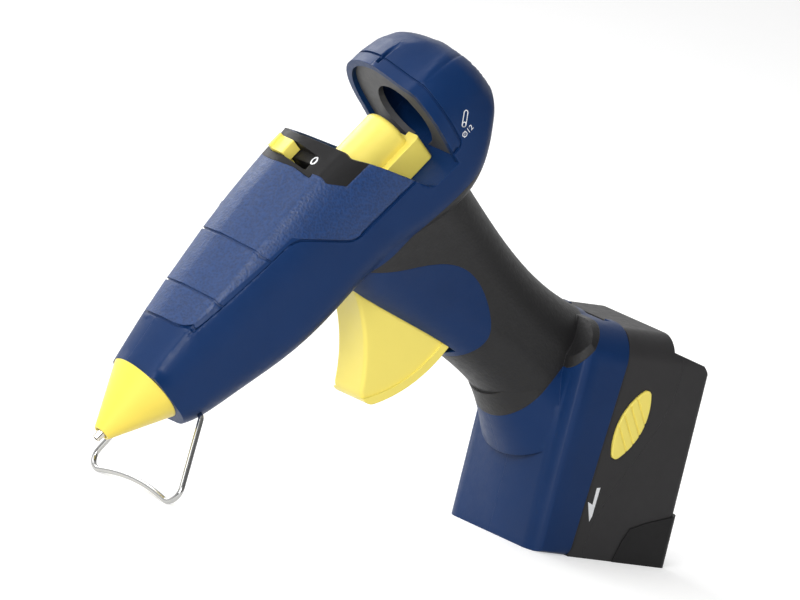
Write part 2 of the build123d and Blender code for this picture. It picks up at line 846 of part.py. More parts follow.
# The hollow leaves the webs, bulkheads and bosses standing
with BuildPart() as hollow:
    add(cavity)
    add(
        [
            beyond_seam(TONGUE_DEPTH + WALL),
            floor_web,
            bulkheads.part,
            cross_rods(gun_side, gun_screws, BOSS_RADIUS, -BEYOND, BEYOND),
            cross_rods(table_side, base_screws, BOSS_RADIUS, -BEYOND, BEYOND),
            cross_rods(gun_side, [PIVOT], PIN_BOSS_RADIUS, pin_seat_left, BEYOND),
            cross_rods(gun_side, [PIVOT], PIN_BOSS_RADIUS, -BEYOND, -pin_seat_right),
            cross_rods(gun_side, [stand_pivot], BOSS_RADIUS, STAND_PIN_START - OVERSHOOT, BEYOND),
            cross_rods(gun_side, [stand_pivot], BOSS_RADIUS, -BEYOND, OVERSHOOT - STAND_PIN_START),
            cross_rods(gun_side, board_posts, SCREW_HEAD_RADIUS, board_side + SEAT_GAP, BEYOND),
        ],
        mode=Mode.SUBTRACT,
    )

trigger_slot = side_prism(
    gun_side,
    [
        (TRIGGER_SLOT_FRONT, -TRIGGER_SLOT_TOP),
        (TRIGGER_SLOT_REAR, -TRIGGER_SLOT_TOP),
        (TRIGGER_SLOT_REAR, -TRIGGER_SLOT_BOTTOM),
        (TRIGGER_SLOT_FRONT, -TRIGGER_SLOT_BOTTOM),
    ],
    TRIGGER_WIDTH / 2 + SIDE_GAP,
)

screw_end = SCREW_LENGTH - SCREW_SEAT
with BuildPart() as screw_holes:
    for side, centres in ((gun_side, gun_screws), (table_side, base_screws)):
        add(cross_rods(side, centres, SCREW_HEAD_RADIUS + RUN_GAP, -BEYOND, -SCREW_SEAT))
        add(cross_rods(side, centres, SCREW_RADIUS + PIN_GAP, -SCREW_SEAT, screw_end + OVERSHOOT))

tray_length = KNOB_LENGTH + 2 * tray_side
tray_hole = knob_box(tray_length + 2 * SEAT_GAP, tray_side + SEAT_GAP, tray_bottom, BEYOND)
switch_pocket = knob_box(
    SWITCH_LENGTH + 2 * SEAT_GAP,
    SEAT_GAP - SWITCH_INSET,
    tray_bottom - SWITCH_HEIGHT - SEAT_GAP,
    tray_bottom,
)
with BuildPart() as shell:
    add(outer)
    add(hollow.part, mode=Mode.SUBTRACT)
    add(
        [
            beyond_seam(0),
            window_tool.part,
            rubber_cutter.part,
            plate_cutter.part,
            tray_hole,
            switch_pocket,
            trigger_slot,
            barrel_rod(NOSE_AT - OVERSHOOT, CHAMBER_START, NOZZLE_RADIUS + RUN_GAP),
            barrel_rod(GUIDE_FLANGE_AT, TAIL_AT - WALL, GUIDE_FLANGE_RADIUS + SEAT_GAP),
            barrel_rod(GUIDE_FLANGE_AT, TAIL_AT + WALL, GUIDE_RADIUS + SEAT_GAP),
            cross_rods(gun_side, [stand_pivot], stand_hole, STAND_PIN_START - RUN_GAP, BEYOND),
            cross_rods(gun_side, [stand_pivot], stand_hole, -BEYOND, RUN_GAP - STAND_PIN_START),
            cross_rods(gun_side, [PIVOT], PIN_RADIUS + PIN_GAP, -pin_end, pin_end),
            tongue(RUN_GAP, TONGUE_START, BASE_LENGTH + WALL),
            blades(SEAT_GAP, TONGUE_START - BLADE_ROOT, TONGUE_START),
            screw_holes.part,
            grooves.part,
            hood_slot,
        ],
        mode=Mode.SUBTRACT,
    )

with BuildPart() as left_housing:
    add(shell.part)
    split(bisect_by=Plane.XZ, keep=Keep.TOP)
left_housing.part.label = "left_housing"
export_step(left_housing.part, "parts/left_housing.step")

with BuildPart() as right_housing:
    add(shell.part)
    split(bisect_by=Plane.XZ, keep=Keep.BOTTOM)
right_housing.part.label = "right_housing"
export_step(right_housing.part, "parts/right_housing.step")

with BuildPart() as grip_rubber:
    add(rubber_cutter.part)
    add(outer, mode=Mode.INTERSECT)
    add([beyond_seam(0), trigger_slot, screw_holes.part], mode=Mode.SUBTRACT)

with BuildPart() as left_grip_cover:
    add(grip_rubber.part)
    split(bisect_by=Plane.XZ, keep=Keep.TOP)
left_grip_cover.part.label = "left_grip_cover"
export_step(left_grip_cover.part, "parts/left_grip_cover.step")

with BuildPart() as right_grip_cover:
    add(grip_rubber.part)
    split(bisect_by=Plane.XZ, keep=Keep.BOTTOM)
right_grip_cover.part.label = "right_grip_cover"
export_step(right_grip_cover.part, "parts/right_grip_cover.step")

# Screws that draw the halves together, put in from the right
with BuildPart() as housing_screws:
    for side, centres in ((gun_side, gun_screws), (table_side, base_screws)):
        add(cross_rods(side, centres, SCREW_HEAD_RADIUS, -SCREW_SEAT - SCREW_HEAD, -SCREW_SEAT))
        add(cross_rods(side, centres, SCREW_RADIUS, -SCREW_SEAT, screw_end))
housing_screws.part.label = "housing_screws"
export_step(housing_screws.part, "parts/housing_screws.step")

# Switch plate, knob and switch
stem_slot = knob_box(
    KNOB_STEM_LENGTH + 2 * RUN_GAP,
    RUN_GAP - stem_inset,
    KNOB_FLOOR - KNOB_STEM_DEPTH - OVERSHOOT,
    REAR_TOP,
    KNOB_STEM_LEAD,
)
with BuildPart() as switch_plate:
    add(plate_cutter.part)
    add(knob_box(tray_length, tray_side, KNOB_FLOOR - TRAY_WALL, BEYOND))
    add(outer, mode=Mode.INTERSECT)
    add(knob_box(KNOB_LENGTH + 2 * RUN_GAP, RUN_GAP, KNOB_FLOOR, BEYOND), mode=Mode.SUBTRACT)
    add(stem_slot, mode=Mode.SUBTRACT)
switch_plate.part.label = "switch_plate"
export_step(switch_plate.part, "parts/switch_plate.step")

knob_home = (knob_at, KNOB_REST)
with BuildPart() as switch_knob:
    with BuildSketch(level(KNOB_FLOOR + RUN_GAP)):
        with Locations(knob_home):
            Rectangle(KNOB_LENGTH, KNOB_WIDTH)
    extrude(amount=KNOB_TOP - KNOB_FLOOR - RUN_GAP)
    with BuildSketch(level(KNOB_TOP)):
        with Locations((knob_at, KNOB_REST + KNOB_WIDTH / 2 - KNOB_RIDGE / 2)):
            Rectangle(KNOB_LENGTH, KNOB_RIDGE)
    extrude(amount=KNOB_RIDGE)
    upper_edges = switch_knob.edges().sort_by(Axis(gun_side.origin, UPWARD))
    fillet(upper_edges.filter_by(Axis(gun_side.origin, REARWARD))[-4:], KNOB_EASE)
    with BuildSketch(level(KNOB_FLOOR + RUN_GAP)):
        with Locations((knob_at - KNOB_STEM_LEAD, KNOB_REST)):
            Rectangle(KNOB_STEM_LENGTH, KNOB_STEM_WIDTH)
    extrude(amount=-RUN_GAP - KNOB_STEM_DEPTH)
switch_knob.part.label = "switch_knob"
export_step(switch_knob.part, "parts/switch_knob.step")

with BuildPart() as slide_switch:
    add(knob_box(SWITCH_LENGTH, -SWITCH_INSET, tray_bottom - SWITCH_HEIGHT, tray_bottom))
    add(stem_slot, mode=Mode.SUBTRACT)
slide_switch.part.label = "slide_switch"
export_step(slide_switch.part, "parts/slide_switch.step")

# Liner inside the hood, and the guide in its tail
liner_form = outer_body(WALL + SEAT_GAP)
liner_foot = WINDOW_FLOOR + SEAT_GAP
with BuildPart() as hood_liner:
    add(
        side_prism(
            gun_side,
            [
                (hood_face(liner_foot) + LINER_SET, liner_foot),
                (hood_face(liner_foot) + LINER_SET + LINER_THICKNESS, liner_foot),
                (hood_face(BEYOND) + LINER_SET + LINER_THICKNESS, BEYOND),
                (hood_face(BEYOND) + LINER_SET, BEYOND),
            ],
            BEYOND,
        )
    )
    add(liner_form, mode=Mode.INTERSECT)
    add(barrel_rod(HOOD_AT - BEYOND / 4, HOOD_AT + BEYOND / 4, LINER_HOLE), mode=Mode.SUBTRACT)
hood_liner.part.label = "hood_liner"
export_step(hood_liner.part, "parts/hood_liner.step")

guide_bore = STICK_BORE + SEAT_GAP
stick_guide = turned(
    [
        (GUIDE_START, guide_bore),
        (GUIDE_START, GUIDE_RADIUS - INLET_WALL),
        (GUIDE_FLANGE_AT + SEAT_GAP, GUIDE_RADIUS - INLET_WALL),
        (GUIDE_FLANGE_AT + SEAT_GAP, GUIDE_FLANGE_RADIUS),
        (TAIL_AT - WALL - SEAT_GAP, GUIDE_FLANGE_RADIUS),
        (TAIL_AT - WALL - SEAT_GAP, GUIDE_RADIUS),
        (TAIL_AT, GUIDE_RADIUS),
        (TAIL_AT, guide_bore + GUIDE_LEAD),
        (TAIL_AT - GUIDE_LEAD, guide_bore),
    ]
)
stick_guide.label = "stick_guide"
export_step(stick_guide, "parts/stick_guide.step")

# Nozzle with its drip valve: the ball is sprung rearward onto the seat, and glue pushes it forward
seat_apex = VALVE_END + VALVE_RADIUS
ball_at = seat_apex - (BALL_RADIUS + SEAT_GAP) * 2**0.5
nozzle_end = NOZZLE_SHOULDER + THREAD_LENGTH
nozzle_tip = turned(
    [
        (0, ORIFICE_RADIUS),
        (0, TIP_RADIUS),
        (TIP_LENGTH, TIP_ROOT_RADIUS),
        (TIP_SHOULDER_AT, NOZZLE_RADIUS),
        (NOZZLE_SHOULDER, NOZZLE_RADIUS),
        (NOZZLE_SHOULDER, THREAD_RADIUS),
        (nozzle_end, THREAD_RADIUS),
        (nozzle_end, THROAT_RADIUS),
        (seat_apex - THROAT_RADIUS, THROAT_RADIUS),
        (VALVE_END, VALVE_RADIUS),
        (VALVE_START, VALVE_RADIUS),
        (VALVE_START - VALVE_RADIUS + ORIFICE_RADIUS, ORIFICE_RADIUS),
    ]
)
nozzle_tip.label = "nozzle_tip"
export_step(nozzle_tip, "parts/nozzle_tip.step")

with BuildPart() as check_ball:
    with Locations(gun_side.from_local_coords(Vector(ball_at, 0, 0))):
        Sphere(BALL_RADIUS)
check_ball.part.label = "check_ball"
export_step(check_ball.part, "parts/check_ball.step")

valve_spring_length = ball_at - BALL_RADIUS - VALVE_START - VALVE_SPRING_WIRE
check_spring = coil(
    station(VALVE_START + VALVE_SPRING_WIRE / 2),
    VALVE_SPRING_RADIUS,
    VALVE_SPRING_WIRE,
    valve_spring_length / VALVE_SPRING_TURNS,
    VALVE_SPRING_TURNS,
)
check_spring.label = "check_spring"
export_step(check_spring, "parts/check_spring.step")

cone_bore = NOZZLE_RADIUS + 2 * SEAT_GAP
cone_tip_bore = TIP_ROOT_RADIUS + 2 * SEAT_GAP
nozzle_cone = turned(
    [
        (CONE_START, cone_tip_bore),
        (CONE_START, CONE_FRONT_RADIUS),
        (NOSE_AT, CONE_RADIUS),
        (NOSE_AT, cone_bore),
        (TIP_SHOULDER_AT, cone_bore),
        (TIP_LENGTH - 2 * SEAT_GAP, cone_tip_bore),
    ]
)
nozzle_cone.label = "nozzle_cone"
export_step(nozzle_cone, "parts/nozzle_cone.step")

# Melt chamber, its heater plates and the rings that hold it
heater_middle = (FRONT_MOUNT_AT + REAR_MOUNT_AT) / 2
chamber_throat = THREAD_RADIUS + PIN_GAP
with BuildPart() as melt_chamber:
    add(
        turned(
            [
                (CHAMBER_START, chamber_throat),
                (CHAMBER_START, CHAMBER_RADIUS),
                (CHAMBER_END, CHAMBER_RADIUS),
                (CHAMBER_END, STICK_BORE),
                (nozzle_end + OVERSHOOT + STICK_BORE - chamber_throat, STICK_BORE),
                (nozzle_end + OVERSHOOT, chamber_throat),
            ]
        )
    )
    for plane in (gun_side.offset(HEATER_SEAT), gun_side.offset(-HEATER_SEAT - BEYOND)):
        add(
            box_at(plane, (heater_middle, 0), (HEATER_LENGTH + 2 * SEAT_GAP, 2 * CHAMBER_RADIUS), BEYOND),
            mode=Mode.SUBTRACT,
        )
melt_chamber.part.label = "melt_chamber"
export_step(melt_chamber.part, "parts/melt_chamber.step")

with BuildPart() as heater_plates:
    for plane in (gun_side.offset(HEATER_SEAT), gun_side.offset(-HEATER_SEAT - HEATER_THICKNESS)):
        add(box_at(plane, (heater_middle, 0), (HEATER_LENGTH, HEATER_WIDTH), HEATER_THICKNESS))
heater_plates.part.label = "heater_plates"
export_step(heater_plates.part, "parts/heater_plates.step")

mount_lip_at = WALL / 2 + SEAT_GAP
with BuildPart() as chamber_mounts:
    for mount_at in (FRONT_MOUNT_AT, REAR_MOUNT_AT):
        add(
            turned(
                [
                    (mount_at - MOUNT_WIDTH / 2, CHAMBER_RADIUS + SEAT_GAP),
                    (mount_at - MOUNT_WIDTH / 2, MOUNT_RADIUS + MOUNT_LIP),
                    (mount_at - mount_lip_at, MOUNT_RADIUS + MOUNT_LIP),
                    (mount_at - mount_lip_at, MOUNT_RADIUS),
                    (mount_at + mount_lip_at, MOUNT_RADIUS),
                    (mount_at + mount_lip_at, MOUNT_RADIUS + MOUNT_LIP),
                    (mount_at + MOUNT_WIDTH / 2, MOUNT_RADIUS + MOUNT_LIP),
                    (mount_at + MOUNT_WIDTH / 2, CHAMBER_RADIUS + SEAT_GAP),
                ]
            )
        )
chamber_mounts.part.label = "chamber_mounts"
export_step(chamber_mounts.part, "parts/chamber_mounts.step")

inlet_outer = CHAMBER_RADIUS + INLET_WALL
inlet_end = CHAMBER_END + INLET_LENGTH
inlet_sleeve = turned(
    [
        (CHAMBER_END - INLET_OVERLAP, CHAMBER_RADIUS + SEAT_GAP),
        (CHAMBER_END - INLET_OVERLAP, inlet_outer),
        (inlet_end, inlet_outer),
        (inlet_end, STICK_BORE + INLET_WALL),
        (inlet_end - INLET_WALL, STICK_BORE),
        (CHAMBER_END + SEAT_GAP, STICK_BORE),
        (CHAMBER_END + SEAT_GAP, CHAMBER_RADIUS + SEAT_GAP),
    ]
)
inlet_sleeve.label = "inlet_sleeve"
export_step(inlet_sleeve, "parts/inlet_sleeve.step")

# Feed carriage: a sleeve around the stick, run on a shoe along the floor of the window
carriage_bore = STICK_BORE + SEAT_GAP
shoe_bottom = WINDOW_FLOOR + RUN_GAP
gripper_slot = (GRIPPER_AT - GRIPPER_LENGTH - RUN_GAP, GRIPPER_AT + GRIPPER_HUB + RUN_GAP)
gripper_pivot = (GRIPPER_AT, -GRIPPER_DEPTH)
ear_outer = GRIPPER_WIDTH / 2 + RUN_GAP + EAR_THICKNESS
with BuildPart() as feed_carriage:
    add(barrel_rod(CARRIAGE_START, CARRIAGE_END, CARRIAGE_RADIUS))
    rear_rim = feed_carriage.edges().filter_by(GeomType.CIRCLE).sort_by(Axis(gun_side.origin, REARWARD))[-1]
    fillet(rear_rim, CARRIAGE_ROUND)
    with BuildSketch(level(shoe_bottom)):
        with Locations(((SHOE_START + SHOE_END) / 2, 0)):
            RectangleRounded(SHOE_END - SHOE_START, 2 * SHOE_HALF_WIDTH, SHOE_ROUND)
    extrude(amount=SHOE_TOP - shoe_bottom)
    add(box_at(level(EAR_BOTTOM), (GRIPPER_AT, 0), (2 * GRIPPER_HUB, 2 * ear_outer), -EAR_BOTTOM))
    add(cross_rods(gun_side, [(TRUNNION_AT, 0)], TRUNNION_RADIUS, -TRUNNION_REACH, TRUNNION_REACH))
    add(barrel_rod(CARRIAGE_START - OVERSHOOT, SHOE_END + OVERSHOOT, carriage_bore), mode=Mode.SUBTRACT)
    add(
        box_at(
            level(EAR_BOTTOM - OVERSHOOT),
            ((gripper_slot[0] + gripper_slot[1]) / 2, 0),
            (gripper_slot[1] - gripper_slot[0], GRIPPER_WIDTH + 2 * RUN_GAP),
            OVERSHOOT - EAR_BOTTOM,
        ),
        mode=Mode.SUBTRACT,
    )
    add(
        cross_rods(gun_side, [gripper_pivot], GRIPPER_PIN_RADIUS + PIN_GAP, -BEYOND, BEYOND),
        mode=Mode.SUBTRACT,
    )
feed_carriage.part.label = "feed_carriage"
export_step(feed_carriage.part, "parts/feed_carriage.step")

# Claw that bites the stick when the carriage runs forward
claw_tip = (GRIPPER_AT - GRIPPER_LENGTH, -carriage_bore + CLAW_BITE)
with BuildPart() as stick_gripper:
    with BuildSketch(gun_side):
        with BuildLine():
            tooth_points = [claw_tip]
            for tooth in range(CLAW_TEETH):
                tooth_start = claw_tip[0] + tooth * CLAW_PITCH
                tooth_points.append((tooth_start + CLAW_PITCH, claw_tip[1] - CLAW_PITCH / 2))
                tooth_points.append((tooth_start + CLAW_PITCH, claw_tip[1]))
            Polyline(
                *tooth_points,
                (GRIPPER_AT, GRIPPER_HUB - GRIPPER_DEPTH),
                (GRIPPER_AT, -GRIPPER_HUB - GRIPPER_DEPTH),
                (claw_tip[0], claw_tip[1] - CLAW_HEIGHT),
                close=True,
            )
        make_face()
        with Locations(gripper_pivot):
            Circle(GRIPPER_HUB)
            Circle(GRIPPER_PIN_RADIUS + PIN_GAP, mode=Mode.SUBTRACT)
    extrude(amount=GRIPPER_WIDTH / 2, both=True)
stick_gripper.part.label = "stick_gripper"
export_step(stick_gripper.part, "parts/stick_gripper.step")

gripper_pin = cross_rods(gun_side, [gripper_pivot], GRIPPER_PIN_RADIUS, -ear_outer, ear_outer)
gripper_pin.label = "gripper_pin"
export_step(gripper_pin, "parts/gripper_pin.step")

# Trigger: a sector on a hub, with two fork arms up to the carriage
trigger_front = Vector(cos(radians(TRIGGER_FRONT_ANGLE)), sin(radians(TRIGGER_FRONT_ANGLE)))
trigger_rear = Vector(cos(radians(TRIGGER_REAR_ANGLE)), sin(radians(TRIGGER_REAR_ANGLE)))
pivot = Vector(*PIVOT)
hub_front = pivot - Vector(TRIGGER_HUB_RADIUS, 0)
hub_rear = pivot - Vector(trigger_rear.Y, -trigger_rear.X) * TRIGGER_HUB_RADIUS
trigger_toe = pivot + trigger_front * TRIGGER_RADIUS
trigger_spread = TRIGGER_REAR_ANGLE - TRIGGER_FRONT_ANGLE


def trigger_slab(inner_radius, half_width):
    """Slab of the trigger's side outline, outside a radius about its pivot."""
    with BuildPart() as slab:
        with BuildSketch(gun_side) as outline:
            with BuildLine():
                SagittaArc(hub_front, trigger_toe, FINGER_HOLLOW)
                CenterArc(pivot, TRIGGER_RADIUS, TRIGGER_FRONT_ANGLE, trigger_spread)
                Polyline(pivot + trigger_rear * TRIGGER_RADIUS, hub_rear, hub_front)
            make_face()
            fillet(outline.vertices().sort_by_distance(trigger_toe)[0], TRIGGER_TOE)
            if inner_radius:
                with Locations(pivot):
                    Circle(inner_radius, mode=Mode.SUBTRACT)
        extrude(amount=half_width, both=True)
    return slab.part


arm_lean = radians(ARM_SWING)
arm_side = Plane(
    gun_side.from_local_coords(pivot),
    x_dir=REARWARD * cos(arm_lean) - UPWARD * sin(arm_lean),
    z_dir=LEFT,
)
arm_reach = PIVOT_DEPTH / cos(arm_lean)
arm_end = arm_reach + TRUNNION_RADIUS + RUN_GAP
slot_start = PIVOT_DEPTH - TRUNNION_RADIUS - RUN_GAP
with BuildPart() as trigger_sector:
    add(trigger_slab(0, TRIGGER_WIDTH / 2 - TRIGGER_RIM_PROUD))
    fillet(trigger_sector.faces().filter_by(Axis.Y).edges(), TRIGGER_EDGE_ROUND)
    add(trigger_slab(TRIGGER_RADIUS - TRIGGER_RIM, TRIGGER_WIDTH / 2))

with BuildPart() as trigger:
    add(cross_rods(gun_side, [PIVOT], TRIGGER_HUB_RADIUS, -HUB_HALF_WIDTH, HUB_HALF_WIDTH))
    add(
        box_at(
            arm_side.offset(-ARM_INNER - ARM_THICKNESS),
            (0, (YOKE_START + YOKE_END) / 2),
            (2 * ARM_HALF_WIDTH, YOKE_END - YOKE_START),
            2 * (ARM_INNER + ARM_THICKNESS),
        )
    )
    for side in (ARM_INNER, -ARM_INNER - ARM_THICKNESS):
        with BuildSketch(arm_side.offset(side)):
            with Locations((0, (YOKE_START + arm_end) / 2)):
                Rectangle(2 * ARM_HALF_WIDTH, arm_end - YOKE_START)
            with Locations((0, (slot_start + arm_end) / 2)):
                Rectangle(2 * TRUNNION_RADIUS + 2 * RUN_GAP, arm_end - slot_start, mode=Mode.SUBTRACT)
        extrude(amount=ARM_THICKNESS)
    add(trigger_sector.part)
    add(cross_rods(gun_side, [PIVOT], PIN_RADIUS + PIN_GAP, -BEYOND, BEYOND), mode=Mode.SUBTRACT)
trigger.part.label = "trigger"
export_step(trigger.part, "parts/trigger.step")

trigger_pin = cross_rods(gun_side, [PIVOT], PIN_RADIUS, -PIN_HALF_LENGTH, PIN_HALF_LENGTH)
trigger_pin.label = "trigger_pin"
export_step(trigger_pin, "parts/trigger_pin.step")

# Return spring beside the hub, with a leg along the arm and a leg against the housing
spring_side = HUB_HALF_WIDTH + (RUN_GAP + SPRING_WIRE) / 2
return_spring = coil(
    Plane(gun_side.from_local_coords(pivot + Vector(0, 0, spring_side)), x_dir=UPWARD, z_dir=LEFT),
    SPRING_RADIUS,
    SPRING_WIRE,
    SPRING_PITCH,
    SPRING_TURNS,
    SPRING_LEG,
)
return_spring.label = "return_spring"
export_step(return_spring, "parts/return_spring.step")

# Wire stand: two splayed legs and an arched foot bar, bent from one wire
arch = radians(STAND_ARCH)
splay = radians(STAND_SPLAY)
stand_origin = gun_side.from_local_coords(Vector(*stand_pivot))
stand_lean = radians(STAND_LEAN)
stand_side = Plane(stand_origin, x_dir=LEFT, z_dir=(cos(stand_lean), 0, -sin(stand_lean)))
stand_drop = (stand_origin.Z - WIRE_DIAMETER / 2) / cos(stand_lean)
corner_depth = stand_drop + STAND_BEND * ((sin(arch) + cos(splay)) / cos(arch + splay) - 1)
corner_half = STAND_SHOULDER + corner_depth * tan(splay)
with BuildPart() as wire_stand:
    with BuildLine(stand_side) as stand_path:
        FilletPolyline(
            (STAND_PIN_START, 0),
            (STAND_SHOULDER, 0),
            (corner_half, corner_depth),
            (0, corner_depth - corner_half * tan(arch)),
            (-corner_half, corner_depth),
            (-STAND_SHOULDER, 0),
            (-STAND_PIN_START, 0),
            radius=[STAND_SHOULDER_BEND, STAND_BEND, STAND_ARCH_RADIUS, STAND_BEND, STAND_SHOULDER_BEND],
        )
    with BuildSketch(Plane(stand_path.line @ 0, z_dir=stand_path.line % 0)):
        Circle(WIRE_DIAMETER / 2)
    sweep(path=stand_path.line)
wire_stand.part.label = "wire_stand"
export_step(wire_stand.part, "parts/wire_stand.step")

# Battery pack: a hollow block split along a curved line, sliding on its tongue under the base


def battery_form(inset):
    """Outer shape of the pack, or its inside when drawn in."""
    with BuildPart() as form:
        with BuildSketch(table_side):
            with BuildLine():
                Polyline(
                    (seam_x(0) + SEAM_GAP + inset, inset),
                    (seam_x(BATTERY_TOP_REAR) + SEAM_GAP + inset, BATTERY_TOP_REAR - inset),
                    (BATTERY_STEP - inset, BATTERY_TOP_REAR - inset),
                    (BATTERY_STEP - inset, BATTERY_REAR + BATTERY_STEP_RISE - inset),
                    (BATTERY_BOTTOM - BATTERY_HEEL, BATTERY_REAR - inset),
                    (BATTERY_BOTTOM - inset, BATTERY_REAR - BATTERY_HEEL),
                    (BATTERY_BOTTOM - inset, inset),
                    close=True,
                )
            make_face()
        extrude(amount=BATTERY_HALF_WIDTH - inset, both=True)
        bottom_edges = form.edges().filter_by(Axis.Z).group_by(Axis.X)[-1]
        fillet(bottom_edges, BATTERY_EDGE)
        with BuildSketch(Plane.YZ.offset(-BEYOND / 2)) as plan:
            with Locations((0, BEYOND / 2)):
                Rectangle(2 * (BATTERY_HALF_WIDTH - inset), 2 * BEYOND)
            with Locations((0, BATTERY_TOP_REAR - BEYOND)):
                Rectangle(2 * (BATTERY_HALF_WIDTH - inset), 2 * (BEYOND - inset), mode=Mode.INTERSECT)
            fillet(plan.vertices().group_by(Axis.Y)[-1], BATTERY_REAR_ROUND - inset)
        extrude(amount=BEYOND, mode=Mode.INTERSECT)
    return form.part


def upper_zone(shift):
    """Everything on the tongue's side of the pack's curved parting line."""
    with BuildPart() as zone:
        with BuildSketch(table_side):
            with BuildLine():
                line = Spline(
                    (BATTERY_STEP + OVERSHOOT + shift, BASE_LENGTH + OVERSHOOT),
                    (BATTERY_STEP + shift, PARTING_KNEE_Z),
                    (shift - PARTING_BEND_X, PARTING_BEND_Z),
                    (shift - PARTING_FRONT_X, -OVERSHOOT),
                )
                Polyline(line @ 1, (-BEYOND, -OVERSHOOT), (-BEYOND, BASE_LENGTH + OVERSHOOT), line @ 0)
            make_face()
        extrude(amount=BEYOND, both=True)
    return zone.part


def leaf_plane(side, start):
    """Plane of a release button; side is 1 on the left and -1 on the right."""
    lean = radians(BUTTON_LEAN)
    return Plane(
        (BUTTON_MIDDLE_X, -side * start, BUTTON_MIDDLE_Z),
        x_dir=(sin(lean), 0, cos(lean)),
        z_dir=(0, -side, 0),
    )


def leaf(grow, side, start, end):
    """Leaf-shaped prism in a side of the pack."""
    half = BUTTON_LENGTH / 2 + grow
    with BuildPart() as prism:
        with BuildSketch(leaf_plane(side, start)) as outline:
            with BuildLine():
                SagittaArc((-half, 0), (half, 0), BUTTON_WIDTH / 2 + grow)
                SagittaArc((half, 0), (-half, 0), BUTTON_WIDTH / 2 + grow)
            make_face()
            fillet(outline.vertices(), BUTTON_TIP + grow)
        extrude(amount=end - start)
    return prism.part


def battery_rods(radius, start, end):
    """Rods from the underside of the pack, at its four screws."""
    with BuildPart() as rods:
        with BuildSketch(Plane.YZ.offset(start)):
            with Locations(*battery_screw_places):
                Circle(radius)
        extrude(amount=end - start)
    return rods.part


battery_screw_places = [
    (side * BATTERY_SCREW_SPREAD, height)
    for side in (-1, 1)
    for height in (BATTERY_SCREW_FRONT, BATTERY_SCREW_REAR)
]
screw_seat = BATTERY_BOTTOM - BATTERY_SCREW_SINK
pack_outer = battery_form(0)
pack_inner = battery_form(BATTERY_WALL)
foot_bed = battery_form(FOOT_THICKNESS)
with BuildPart() as foot_block:
    with BuildSketch(table_side):
        with BuildLine():
            Polyline(
                (BATTERY_BOTTOM + FOOT_PROUD, 0),
                (BATTERY_BOTTOM + FOOT_PROUD, FOOT_LENGTH),
                (BATTERY_BOTTOM - FOOT_DEPTH / 2, FOOT_MIDDLE_LENGTH),
                (BATTERY_BOTTOM - FOOT_CORNER_DEPTH, FOOT_CORNER_LENGTH),
                (BATTERY_BOTTOM - FOOT_LIP_DEPTH, FOOT_LIP_LENGTH),
                (BATTERY_BOTTOM - FOOT_DEPTH, 0),
                close=True,
            )
        make_face()
    extrude(amount=BATTERY_HALF_WIDTH + FOOT_PROUD / 2, both=True)
    fillet(foot_block.edges().filter_by(Axis.Z).group_by(Axis.X)[-1], BATTERY_EDGE)

button_back = BATTERY_HALF_WIDTH + BUTTON_PROUD - BUTTON_THICKNESS
button_face = BATTERY_HALF_WIDTH + BUTTON_PROUD
flange_front = button_back + BUTTON_FLANGE_THICKNESS
rib_face = button_back - RELEASE_SPRING_LENGTH
with BuildPart() as pack_hollow:
    add(pack_inner)
    add(battery_rods(BOSS_RADIUS, -BEYOND, BEYOND), mode=Mode.SUBTRACT)
    for side in (-1, 1):
        rib_plane = Plane(
            (BUTTON_MIDDLE_X - BEYOND / 4, side * (rib_face - RIB_THICKNESS / 2), BUTTON_MIDDLE_Z),
            x_dir=(0, 1, 0),
            z_dir=(1, 0, 0),
        )
        add(
            box_at(
                rib_plane,
                (0, 0),
                (RIB_THICKNESS, 4 * RELEASE_SPRING_RADIUS),
                BEYOND / 4 + 2 * RELEASE_SPRING_RADIUS,
            ),
            mode=Mode.SUBTRACT,
        )

with BuildPart() as pack_shell:
    add(pack_outer)
    add(pack_hollow.part, mode=Mode.SUBTRACT)
    add(
        [
            battery_rods(SCREW_HEAD_RADIUS + RUN_GAP, screw_seat, BEYOND),
            battery_rods(SCREW_RADIUS + PIN_GAP, screw_seat - BATTERY_SCREW_LENGTH - OVERSHOOT, screw_seat),
            leaf(RUN_GAP, 1, button_back, BEYOND),
            leaf(RUN_GAP, -1, button_back, BEYOND),
        ],
        mode=Mode.SUBTRACT,
    )

with BuildPart() as foot_recess:
    add(foot_block.part)
    add(foot_bed, mode=Mode.SUBTRACT)

tongue_start = TONGUE_START + RUN_GAP
clip_end = tongue_start + BLADE_REACH + CLIP_WALL
with BuildPart() as battery_case_upper:
    add(pack_shell.part)
    add(upper_zone(0), mode=Mode.INTERSECT)
    add(tongue(0, tongue_start, BASE_LENGTH - WALL))
    add(blades(CLIP_WALL + 2 * RUN_GAP, tongue_start, clip_end + SEAT_GAP), mode=Mode.SUBTRACT)
    add(foot_recess.part, mode=Mode.SUBTRACT)
battery_case_upper.part.label = "battery_case_upper"
export_step(battery_case_upper.part, "parts/battery_case_upper.step")

with BuildPart() as battery_case_lower:
    add(pack_shell.part)
    add([upper_zone(SEAT_GAP), foot_recess.part], mode=Mode.SUBTRACT)
battery_case_lower.part.label = "battery_case_lower"
export_step(battery_case_lower.part, "parts/battery_case_lower.step")

foot_recess.part.label = "battery_foot"
export_step(foot_recess.part, "parts/battery_foot.step")

with BuildPart() as battery_screws:
    add(battery_rods(SCREW_HEAD_RADIUS, screw_seat, screw_seat + SCREW_HEAD))
    add(battery_rods(SCREW_RADIUS, screw_seat - BATTERY_SCREW_LENGTH, screw_seat))
battery_screws.part.label = "battery_screws"
export_step(battery_screws.part, "parts/battery_screws.step")



